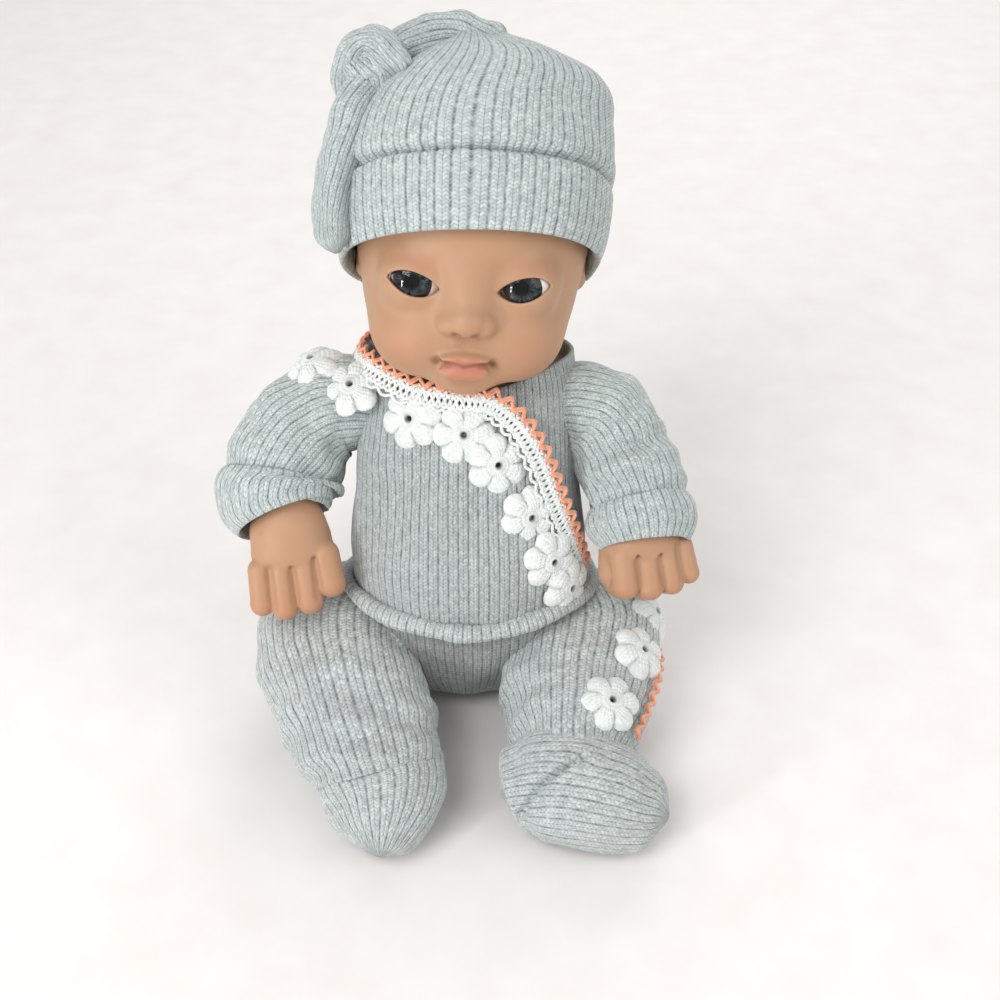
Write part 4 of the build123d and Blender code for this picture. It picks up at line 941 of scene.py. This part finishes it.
# ---- Trousers and booties: stations in the world, with half widths along the hint and across it ----
LEGS = {
    "right": [(-15, 8, 31, 19, 19), (-34, 2, 30, 27, 21), (-48, -8, 29, 33.5, 21.5),
              (-49, -20, 27.5, 32.5, 21), (-45, -35, 25.5, 29, 20), (-37.5, -52, 22, 28, 19),
              (-31.5, -69, 18.5, 24.0, 17.5)],
    "left": [(15, 8, 31, 19, 19), (33, 2, 30, 25, 21), (44, -9, 28.5, 29.5, 21), (43.5, -21, 27, 29.5, 20.5),
             (41, -34, 25.5, 28.4, 20), (39.5, -49, 23, 25, 19.5), (38, -63, 20.5, 21, 17),
             (38, -72, 18, 17, 13)],
}
FEET = {
    "right": [(-33, -62, 19.0, 23.4, 17.2), (-30.5, -72, 17.0, 23.4, 17.4), (-29.6, -82, 15.2, 21.6, 16.2),
              (-29.4, -90, 13.4, 17.6, 14.2), (-29.6, -95.5, 11.8, 12.6, 11.4), (-30.0, -99, 10.4, 7.0, 7.4),
              (-30.2, -100.4, 9.6, 1.4, 1.4)],
    "left": [(12.5, -76.5, 14.0, 1.2, 1.2), (14.5, -76, 14.5, 9.5, 9.5), (22, -75.5, 17.0, 17.0, 16.5),
             (35, -77, 19.2, 20.8, 19.6), (49, -80, 18.0, 20.4, 18.8), (60, -82.5, 15.2, 16.8, 15.8),
             (68, -84, 13.0, 10.6, 10.8), (72.0, -85, 12, 1.4, 1.4)],
}


def leg_folds(side):
    def folds(points, along, angle):
        soft = ripple(points * [1.1, 0.8, 1.0], 21, 53 if side == "left" else 57) * 0.9
        bunch = ripple(points * [0.6, 1.9, 0.6], 17, 61) * 0.8 * ease(along, 0.45, 0.7)
        return (soft + bunch) * ease(along, 0.02, 0.2)

    return folds


def foot_folds(side):
    def folds(points, along, angle):
        soft = ripple(points, 19, 71 if side == "left" else 73) * 0.7
        if side == "left":
            turn = np.degrees(angle)
            reach = ease(turn, 75, 95) * ease(175 - turn, 0, 25)
            line = along - 0.47 + 0.0045 * (turn - 90)
            fold = 2.2 * bell(line, 0.05, 0.045) - 3.8 * bell(line, 0, 0.026)
            soft = soft + fold * reach
        return soft * ease(along, 0.0, 0.12) * ease(1 - along, 0.0, 0.12)

    return folds


SEAM_SLOPE, ANKLE_HEIGHT = 0.62, 18.0  # the right ankle's seam leans


def sheared(points, amount):
    """Points moved forward in proportion to their height above the ankle's middle."""
    moved = points.copy()
    moved[..., 1] -= SEAM_SLOPE * (points[..., 2] - ANKLE_HEIGHT) * amount
    return moved


def lean_leg(points, along):
    return sheared(points, ease(along, 0.5, 1.0))


def lean_foot(points, along):
    return sheared(points, ease(1 - along, 0.1, 0.9))


def make_leg(side):
    leans = side == "right"
    leg = tube(f"{side}_trouser_knit", LEGS[side], SIDE, LEG_RIBS, leg_folds(side), (False, True), 0.95,
               floor=True, square=2.2, warp=lean_leg if leans else None)
    dress(leg, KNIT_LEGS, f"{side}_leg", "knit", f"{side}_trouser_leg")
    foot = tube(f"{side}_bootie_knit", FEET[side], SIDE if leans else (0, 1, 0), FOOT_RIBS, foot_folds(side),
                (False, False), 0.8, floor=True, square=2.15, warp=lean_foot if leans else None)
    dress(foot, KNIT_LEGS, f"{side}_leg", "knit", f"{side}_bootie")


# As TOP_SECTIONS
SEAT_SECTIONS = {
    -27: (12, 8, 7), -24.5: (24, 15.5, 6), -17: (35, 23.5, 3.5), -6: (41, 29.5, 1.5), 6: (43.5, 33.5, 0),
    12: (44, 34, -1), 18: (43.0, 34.2, -2), 29: (42, 33.5, -3),
}


def make_seat():
    rows, columns = 70, TORSO_RIBS * RIB_SAMPLES
    height = np.linspace(-27, 28, rows)
    shape = smooth(height, list(SEAT_SECTIONS), list(SEAT_SECTIONS.values()))
    angle = np.linspace(-pi, pi, columns, endpoint=False)
    dip = 5.0 * np.clip(-np.sin(angle), 0, 1) ** 2
    up = height[:, None] - dip[None] * ease(height, 8, 24)[:, None]
    wide, deep, shift = shape[:, :1], shape[:, 1:2], shape[:, 2:]
    places = np.stack([wide * np.cos(angle), shift + deep * np.sin(angle), up], axis=-1)
    points = spine(*np.moveaxis(places, -1, 0))
    normals = grid_normals(points, True)
    rib_place = count_ribs(rows, columns)
    offset = rib_profile(rib_place) * 0.45 + 0.7 * ripple(points * [1, 1, 0.5], 20, 81)
    points = points + normals * offset[..., None]
    points[..., 2] = rest_on_floor(points[..., 2], 0.4, 1.2)
    stitch = np.tile((height / STITCH_HEIGHT)[:, None], (1, columns))
    piece = knit_object("trouser_seat_knit", points, rib_place, stitch, True, (True, False))
    dress(piece, KNIT_SEAT_SHADED, "torso", "knit", "trouser_seat")


def make_waistband():
    """The rolled waistband: ribs run round the roll, so each rib is one bead along it."""
    samples, sides = 7, 20  # mesh points across one rib, and round the roll
    columns = 84 * samples
    angle = np.linspace(-pi, pi, columns, endpoint=False)
    front = np.clip(-np.sin(angle), 0, 1)
    up = 23.5 - 9.0 * front**1.8 + 1.5 * np.clip(np.sin(angle), 0, 1)
    roll = 2.9 + 0.8 * front
    shape = top_section(up)
    wide, deep, shift = shape[:, 0] + 3.6, shape[:, 1] + 3.6, shape[:, 2]
    places = np.stack([wide * np.cos(angle), shift + deep * np.sin(angle), up], axis=-1)
    centre = spine(*places.T)
    centre = centre + UP * (0.8 * ripple(centre, 30, 91))[:, None]
    way = unit(np.roll(centre, -1, axis=0) - np.roll(centre, 1, axis=0))
    out = unit(np.cross(way, UP))
    lift = np.cross(out, way)
    rib = np.arange(columns) / samples
    around = np.linspace(0, 2 * pi, sides, endpoint=False)
    swell = roll + rib_profile(rib) * 0.35 + 0.3 * ripple(centre, 12, 92)
    spokes = out[None] * np.cos(around)[:, None, None] + lift[None] * np.sin(around)[:, None, None]
    ring = centre[None] + spokes * swell[None, :, None]
    ring = np.concatenate([ring, ring[:1]], axis=0)
    rib_place = np.tile(rib, (sides + 1, 1))
    stitch = np.tile((np.arange(sides + 1) * 2 * pi * 3.4 / sides / STITCH_HEIGHT)[:, None], (1, columns))
    piece = knit_object("waistband_roll", ring, rib_place, stitch, True)
    dress(piece, KNIT_LEGS, "torso", "knit", "waistband")


# ---- Cap: places are (x, forward-back across the brim, along the cap's own axis) ----
CAP_CENTRE = np.array([0.0, 2.0, 158.5])
CAP_TILT = radians(26)
CAP_AXIS = np.array([0.0, sin(CAP_TILT), cos(CAP_TILT)])
CAP_ACROSS = np.array([0.0, cos(CAP_TILT), -sin(CAP_TILT)])
# Height along the cap's axis: centre x, half width, half depth, shift to the back
CROWN = {
    9.5: (2.5, 44.6, 44.6, 0), 11.2: (2.5, 46.8, 47, 0), 12.8: (2.7, 49.6, 49.6, 0),
    15: (2.8, 50.4, 50.4, 0), 22: (3.2, 49.8, 49.2, -0.5), 33: (5.0, 47.0, 45, -1.5),
    43: (8.2, 43, 38.5, -3.5), 50: (9.2, 36.5, 32, -5),
    56: (8.0, 26.5, 24, -6.5), 60.5: (6.0, 16.5, 15.5, -8), 64: (4.5, 9, 9, -9), 67: (4, 1.5, 1.5, -9.5),
}
CUFF = {
    -15.5: (1.5, 46.6, 47.0, 0), -11: (1.8, 47.9, 48.3, 0), -3: (2, 49.2, 49.4, 0), 5: (2.4, 49.8, 50, 0),
    8.6: (2.5, 49.8, 50, 0), 10.4: (2.5, 48.6, 48.8, 0), 11.2: (2.5, 46.2, 46.4, 0),
}


def cap_places(x, across, height):
    x, across, height = np.broadcast_arrays(x, across, height)
    return (CAP_CENTRE + x[..., None] * SIDE + across[..., None] * CAP_ACROSS
            + height[..., None] * CAP_AXIS)


def cap_tube(name, sections, rows, folds, turn_in=True, depth=RIB_DEPTH):
    columns = CAP_RIBS * RIB_SAMPLES
    keys = list(sections)
    height = np.linspace(keys[0], keys[-1], rows)
    shape = smooth(height, keys, list(sections.values()))
    angle = np.linspace(-pi, pi, columns, endpoint=False)
    c, s = squared(angle, 2.25)
    places = cap_places(shape[:, :1] + shape[:, 1:2] * c, shape[:, 3:] + shape[:, 2:3] * s, height[:, None])
    points = spine(*np.moveaxis(places, -1, 0))
    normals = grid_normals(points, True)
    rib_place = count_ribs(rows, columns)
    room = np.clip(shape[:, 1:2] / 34.0, 0.1, 1)
    offset = folds(points, height[:, None], angle[None]) + rib_profile(rib_place) * depth * room
    points = points + normals * offset[..., None]
    stitch = np.tile((run(points[:, 0]) / STITCH_HEIGHT)[:, None], (1, columns))
    if turn_in:
        axis = unit(spine(*CAP_AXIS) - HIP_MIDDLE)
        before = hem(points[0], normals[0], -axis, 2.0, 8.0)[::-1]
        after = hem(points[-1], normals[-1], axis, 1.5, 4.0)
        points, rib_place, stitch = with_hems(points, rib_place, stitch, before, after)
    return knit_object(name, points, rib_place, stitch, True, (False, not turn_in))


def crown_folds(points, height, angle):
    soft = ripple(points, 30, 101) * 0.7 * ease(height, 16, 30)
    gather = 1.1 * np.cos(angle * 7 + 0.6) * ease(height, 48, 70) * ease(78 - height, 0, 6)
    dent = -2.2 * bell(height, 60, 9) * np.clip(np.cos(angle - 2.6), 0, 1) ** 2
    return soft + gather + dent


def gathers(depth, count, twist, soft, wavelength, seed):
    """Folds that run along a gathered tube and twist round it."""
    def folds(points, along, angle):
        return depth * np.cos(angle * count + along * twist) + soft * ripple(points, wavelength, seed)

    return folds


def tail_folds(points, along, angle):
    drawn = 1.0 * np.cos(angle * 3 + along * 4.5) * ease(1 - along, 0, 0.3)
    return drawn + 0.5 * ripple(points, 13, 109)


# The top is drawn over to the doll's right, knotted, and hangs down beside the cuff.
# Each piece: its stations, hint, ribs, folds, row gap and the CAD nodes it stands for
CAP_GATHERS = {
    "cap_bunch_knit": (
        [(12, 14, 214, 7, 7), (4, 15, 217.5, 10.5, 9.5), (-6, 15.5, 219, 11.5, 9.5), (-16, 13, 217, 12, 9),
         (-25, 11, 213, 9, 8), (-31, 9, 208, 5, 5)],
        UP, 22, gathers(1.5, 4, 5, 0.6, 9, 105), 0.7, ()),
    "cap_knot_knit": (
        [(-22, 3, 209, 5, 4.5), (-25, -2, 214, 7.5, 6.5), (-31, 1, 219.5, 8.5, 7), (-37, 7, 217, 8.5, 7),
         (-40.5, 10, 209, 8, 6.5), (-38.5, 6, 200.5, 7.5, 6), (-32, 0, 199, 6, 5)],
        BACK, 16, gathers(0.8, 3, 7, 0.5, 10, 107), 0.6, ("cap_knot",)),
    "cap_knot_middle": (
        [(-39, 6, 215, 3, 3), (-35.5, 3.5, 212.5, 8.5, 9), (-31.5, 2.5, 208, 10, 10.5),
         (-32, 1, 202, 8, 8.5), (-34, 0, 197, 3, 3)],
        BACK, 18, gathers(0.8, 3, 7, 0.5, 10, 107), 0.6, ()),
    "cap_tail_knit": (
        [(-31, 3, 206, 8, 8), (-35, -2, 200, 11, 10.5), (-39, -8.5, 191, 11, 10.5),
         (-42.5, -15, 181, 9.5, 9), (-45, -20.5, 171, 8.5, 7.5), (-45.5, -25.5, 163, 7.5, 6.5),
         (-44.5, -29, 156.5, 5, 4.6), (-43.5, -30.5, 153.5, 1.2, 1.2)],
        BACK, 20, tail_folds, 0.7, ("cap_tail",)),
}


def make_cap():
    crown = cap_tube("cap_crown_knit", CROWN, 100, crown_folds, turn_in=False)
    dress(crown, KNIT_CAP, "head", "knit", "cap_crown")
    cuff = cap_tube("cap_cuff_knit", CUFF, 40, lambda p, h, a: 0.45 * ripple(p, 34, 103), depth=0.6)
    dress(cuff, KNIT_CAP, "head", "knit", "cap_cuff")

    for name, (stations, hint, ribs, folds, row_gap, replaced) in CAP_GATHERS.items():
        piece = tube(name, in_world(stations), hint, ribs, folds, (False, False), row_gap)
        dress(piece, KNIT_CAP, "head", "knit", *replaced)


# ---- Trim: lace, zigzag and flowers ----
TRIM_LINE = [(42.2, -14.4, 33), (41.5, -16, 36), (37, -22.5, 52), (32, -26, 67), (27, -26.5, 81),
             (20, -25.5, 93), (11, -24.5, 101), (-3, -23.5, 103), (-18, -21.0, 105)]
COLLAR_TURNS = np.radians([-150.0, -172.0, -195.0, -218.0])  # the trim's last places, round the collar


def trim_frames(shares):
    """Points on the trim's edge, the way the lace hangs from it, and the outward normals."""
    collar = top_surface(COLLAR_TURNS, neck_height(COLLAR_TURNS) + 0.5, PANEL_LIFT - 3.0)
    places = np.concatenate([TRIM_LINE, collar])
    steps = run(places)
    line = smooth(shares * steps[-1], steps, places)
    ahead = unit(np.gradient(line, axis=0))
    round_body = np.stack([line[:, 0] / 44.0**2, (line[:, 1] - 1) / 30.0**2, np.zeros(len(line))], axis=-1)
    out = unit(round_body)
    out[:, 2] += 0.65 * ease(line[:, 2], 99, 110)
    out = unit(out - np.sum(out * ahead, axis=1, keepdims=True) * ahead)
    hang = np.cross(out, ahead)
    flip = np.sign(np.sum(hang * [[-0.4, 0, -1.0]], axis=1, keepdims=True))
    return line, hang * np.where(flip == 0, 1, flip), out, steps[-1]


def make_lace():
    count = 1400
    shares = np.linspace(0, 1, count)
    line, hang, out, length = trim_frames(shares)
    along = shares * length
    base = line + out * 2.9

    def cord(side_wave, lift_wave, radius):
        places = base + hang * side_wave[:, None] + out * lift_wave[:, None]
        return thread(spine(*places.T), radius)

    def zigzag(pitch, shift=0.0):
        return 2 / pi * np.arcsin(np.sin(2 * pi * (along / pitch + shift)))

    white = [cord(np.full(count, 2.2) + 0.5 * zigzag(1.9), 0.1 * zigzag(1.1), 0.62),
             cord(np.full(count, 6.4) + 0.5 * zigzag(2.1, 0.3), 0.1 * zigzag(1.3), 0.66),
             cord(4.3 + 2.3 * zigzag(4.2), 0.25 * zigzag(2.1), 0.6),
             cord(4.3 + 2.3 * zigzag(4.2, 0.5), -0.2 * zigzag(2.1, 0.25), 0.6),
             cord(7.4 + 1.5 * np.abs(np.sin(pi * along / 5.4)), 0.2 * zigzag(2.7), 0.62),
             cord(0.9 + 0.6 * zigzag(2.6), 0.2 * zigzag(1.3), 0.55)]
    points, faces = joined(white)
    piece = mesh_object("wrap_lace_net", points, faces)
    dress(piece, COTTON, "torso", "lace", "wrap_lace")
    peach = [cord(-1.0 + 1.7 * zigzag(5.4), 0.35 * zigzag(2.7), 0.72),
             cord(-0.6 + 1.7 * zigzag(5.4, 0.1), 0.5 + 0.3 * zigzag(2.7, 0.2), 0.6),
             cord(0.8 + 0.5 * zigzag(2.2, 0.4), 0.3 * zigzag(1.1), 0.5)]
    points, faces = joined(peach)
    piece = mesh_object("wrap_zigzag", points, faces)
    dress(piece, PEACH, "torso", "lace")


PETALS, FLOWER_REACH, FLOWER_THICK = 6, 11.6, 3.0


def flower(centre, normal, turn, bow):
    """Points, faces and painted shade of a padded crochet flower; bow bends its edge back."""
    normal = unit(np.asarray(normal, float))
    hint = np.array([0.0, 0.0, 1.0]) if abs(normal[2]) < 0.8 else np.array([0.0, 1.0, 0.0])
    first = unit(np.cross(hint, normal))
    second = np.cross(normal, first)
    reach, rings, columns = FLOWER_REACH, 34, 180
    angle = np.linspace(0, 2 * pi, columns, endpoint=False)
    from_petal = np.abs((angle + pi / PETALS) % (2 * pi / PETALS) - pi / PETALS)
    middle, half = 0.60 * reach, 0.395 * reach
    inside = np.clip(half**2 - (middle * np.sin(from_petal)) ** 2, 0, None)
    outline = middle * np.cos(from_petal) + np.sqrt(inside)
    share = np.linspace(0.015, 1, rings)[:, None]
    radius = share * outline
    apart = np.sqrt(radius**2 + middle**2 - 2 * radius * middle * np.cos(from_petal)) / half
    pad = np.sqrt(np.clip(1.02 - apart**2, 0, 1))
    heart = bell(radius, 0, 0.42 * reach, 4)
    cushion = np.sqrt(np.clip(1 - share**4, 0, 1))
    body = FLOWER_THICK * (0.62 * cushion + 0.38 * np.maximum(pad, heart) * cushion)
    hole = -3.4 * bell(radius, 0, 1.0, 4)
    seam = -0.5 * bell(from_petal, pi / PETALS, 0.06) * ease(radius / reach, 0.25, 0.5)
    twist = np.cos(angle * 30 + radius * 1.6) * np.cos(radius * 3.6)
    stitches = (0.14 * np.cos(2 * pi * radius / 1.7) + 0.20 * twist) * cushion
    height = body + hole + seam + stitches - bow * (radius / reach) ** 2
    c, s = np.cos(angle + turn), np.sin(angle + turn)

    def lifted(level):
        flat = centre + first * (radius * c)[..., None] + second * (radius * s)[..., None]
        return flat + normal * level[..., None]

    grid = np.concatenate([lifted(height), lifted(-bow * (radius / reach) ** 2 - 0.3 * (1 - share))[::-1]])
    faces = grid_faces(len(grid), columns, True)
    faces.append(list(range(columns))[::-1])
    faces.append([(len(grid) - 1) * columns + k for k in range(columns)])
    # Painted shade: darkest in the middle hole, less in the gaps between stitches and along the petal seams;
    # none on the underside.
    hollow_shade = (bell(radius, 0, 1.25, 4) + np.clip(-0.25 * twist, 0, 1) * cushion
              + 0.3 * bell(from_petal, pi / PETALS, 0.07) * ease(share, 0.4, 0.6))
    darkness = np.concatenate([hollow_shade, np.zeros_like(hollow_shade)])
    return grid.reshape(-1, 3), faces, np.clip(darkness, 0, 1).ravel()


def flower_piece(name, blooms):
    points, faces = joined([bloom[:2] for bloom in blooms])
    piece = mesh_object(name, points, faces)
    paint(piece, "hollow_shade", np.concatenate([bloom[2] for bloom in blooms]))
    return piece


# Each flower: its torso place, the outward way, its turn and how far its edge bends back
WRAP_FLOWERS = [
    ((-57, -3, 107.5), (-0.35, -0.35, 1.0), 0.3, 2.6), ((-42, -14, 101.5), (-0.25, -0.8, 0.75), 0.1, 1.6),
    ((-20, -24.8, 92.8), (-0.35, -1.0, 0.25), 0.4, 1.2), ((-1, -29.0, 88.0), (0.0, -1.0, 0.22), 0.0, 1.0),
    ((11, -31.0, 77.5), (0.2, -1.0, 0.12), 0.5, 1.0), ((22.5, -32.0, 58), (0.45, -1.0, 0.02), 0.2, 1.4),
    ((30.5, -31.5, 40.5), (0.65, -1.0, 0.0), 0.6, 1.6), ((37.0, -27.0, 28.5), (0.8, -0.8, -0.1), 0.1, 1.6),
]
# On the left leg, in the world: place, outward way and turn
LEG_FLOWERS = [((70.5, -7, 39.5), (0.80, -0.1, 0.6), 0.0), ((64.5, -30, 41), (0.55, -0.25, 0.8), 0.4),
               ((52, -55, 40.0), (0.25, -0.35, 0.9), 0.2)]
LEG_ZIGZAG = [(73, -22, 34), (70.5, -38, 33.5), (66.5, -50, 31), (61, -62, 29)]


def torso_way(way):
    way = np.asarray(way, float)
    return unit(way[0] * SIDE + way[1] * BACK + way[2] * UP)


def make_flowers():
    blooms = [flower(spine(*place), torso_way(way), turn, bow) for place, way, turn, bow in WRAP_FLOWERS]
    dress(flower_piece("wrap_flower_row", blooms), COTTON, "torso", "crochet_flower", "wrap_flowers")
    blooms = [flower(np.array(place, float), way, turn, 2.0) for place, way, turn in LEG_FLOWERS]
    dress(flower_piece("leg_flower_row", blooms), COTTON, "left_leg", "crochet_flower", "leg_flowers")
    path = np.array(LEG_ZIGZAG, float)
    knots = run(path)
    along = np.linspace(0, knots[-1], 500)
    line = smooth(along, knots, path)
    sway = 2 / pi * np.arcsin(np.sin(2 * pi * along / 5.4))[:, None] * unit(np.array([-0.7, -0.1, 0.7]))
    cords = [thread(line + sway * 1.7, 0.72), thread(line + sway * 1.6 + np.array([0.3, 0, 0.7]), 0.6)]
    points, faces = joined(cords)
    dress(mesh_object("leg_zigzag", points, faces), PEACH, "left_leg", "lace")


# ---- Finish of the CAD pieces that stay ----
# Each material slot: colour, roughness and, where it isn't the usual, grain
MOULDED = {
    "body_shell": ((0.55, 0.33, 0.21), 0.5), "inner_plastic": ((0.03, 0.03, 0.032), 0.45),
    "plug_plastic": ((0.62, 0.58, 0.52), 0.38), "cell_jacket": ((0.03, 0.09, 0.18), 0.25),
    "chip_black": ((0.02, 0.02, 0.02), 0.5), "cone_paper": ((0.05, 0.05, 0.055), 0.8, 1500.0),
    "gasket_foam": ((0.03, 0.03, 0.03), 0.9, 1200.0), "wire_jacket": ((0.45, 0.02, 0.02), 0.5),
    "switch_black": ((0.03, 0.03, 0.03), 0.5), "vinyl_skin": (SKIN, 0.5),
}
METALS = {
    "screw_steel": (0.62, 0.62, 0.64), "spring_steel": (0.72, 0.72, 0.74),
    "contact_metal": (0.75, 0.62, 0.38), "magnet_steel": (0.45, 0.45, 0.47),
}


def finish_cad_nodes():
    finishes = {slot: moulded("limb_vinyl" if slot == "vinyl_skin" else slot, *look)
                for slot, look in MOULDED.items()}
    finishes |= {slot: brushed(slot, colour) for slot, colour in METALS.items()}
    finishes["board_green"] = board_material()
    slots = {part["node"]: part["material_slot"] for part in frame["record"]["subparts"]}
    for name, node in frame["nodes"].items():
        material = finishes.get(slots[name])
        if material is not None:
            node.data.materials.clear()
            node.data.materials.append(material)


# ---- Studio ----
VIEW_ELEVATION = radians(38)
VIEW_DISTANCE, FACE_DEPTH = 550.0, 70.0
MM_PER_PIXEL, FRAME_WIDTH = 0.36, 1000
AIM_RIGHT, AIM_UP = 11.9, 70.7
# Each lamp, in metres and watts: its place, the height it points at, its width and height, its power
LAMPS = (
    ("key", (-0.55, -0.75, 1.15), 0.1, (0.7, 0.7), 9.0),
    ("fill", (0.95, -0.5, 0.7), 0.1, (0.9, 0.9), 4.5),
    ("back", (0.2, 0.95, 0.9), 0.1, (0.8, 0.8), 5.0),
    ("window", (-0.62, -0.64, 0.23), 0.17, (0.10, 0.36), 3.0),
)


def make_studio():
    floor = mesh_object("floor", [(-3000, -3000, 0), (3000, -3000, 0), (3000, 3000, 0), (-3000, 3000, 0)],
                        [[0, 1, 2, 3]], False)
    shader = Shader("pale_floor")
    fine = shader.noise(40, 4.0)
    floor.data.materials.append(shader.finish(
        shader.mix(shader.range(fine, 0.3, 0.7), (0.80, 0.77, 0.75), (0.84, 0.815, 0.80)), 0.85,
        shader.bump(fine, 0.1, 0.2)))
    world = bpy.data.worlds.new("studio")
    world.use_nodes = True
    background = next(n for n in world.node_tree.nodes if n.type == "BACKGROUND")
    background.inputs["Color"].default_value = (1.0, 0.985, 0.97, 1.0)
    background.inputs["Strength"].default_value = 0.55
    tree = world.node_tree
    seen, rays, mix = (tree.nodes.new(kind) for kind in ("ShaderNodeBackground", "ShaderNodeLightPath",
                                                        "ShaderNodeMixShader"))
    seen.inputs["Color"].default_value = (0.84, 0.82, 0.80, 1.0)
    output = next(n for n in tree.nodes if n.type == "OUTPUT_WORLD")
    tree.links.new(rays.outputs["Is Camera Ray"], mix.inputs[0])
    tree.links.new(background.outputs[0], mix.inputs[1])
    tree.links.new(seen.outputs[0], mix.inputs[2])
    tree.links.new(mix.outputs[0], output.inputs["Surface"])
    bpy.context.scene.world = world
    for name, place, aim, size, power in LAMPS:
        light = bpy.data.lights.new(name, "AREA")
        light.shape, light.energy = "RECTANGLE", power
        light.size, light.size_y = size
        lamp = bpy.data.objects.new(name, light)
        lamp.location = place
        direction = Vector(-unit(np.array(place) - np.array([0, 0, aim])))
        lamp.rotation_euler = direction.to_track_quat("-Z", "Y").to_euler()
        bpy.context.scene.collection.objects.link(lamp)
    towards = np.array([0.0, -cos(VIEW_ELEVATION), sin(VIEW_ELEVATION)])
    upward = np.array([0.0, sin(VIEW_ELEVATION), cos(VIEW_ELEVATION)])
    camera = bpy.data.cameras.new("view")
    camera.sensor_width = 36.0
    camera.lens = VIEW_DISTANCE / MM_PER_PIXEL / FRAME_WIDTH * camera.sensor_width
    camera.clip_start = 0.01
    eye = bpy.data.objects.new("view", camera)
    eye.location = (SIDE * AIM_RIGHT + upward * AIM_UP + towards * (FACE_DEPTH + VIEW_DISTANCE)) * MM
    eye.rotation_euler = (pi / 2 - VIEW_ELEVATION, 0, 0)
    bpy.context.scene.collection.objects.link(eye)
    bpy.context.scene.camera = eye
    bpy.context.scene.view_settings.view_transform = "Standard"


make_head()
for side, sign in SIDES.items():
    make_eye(side, sign)
    make_hand(side, sign)
    make_sleeve(side, sign)
    make_leg(side)
make_top()
make_wrap_panel()
make_seat()
make_waistband()
make_cap()
make_lace()
make_flowers()
finish_cad_nodes()
make_studio()
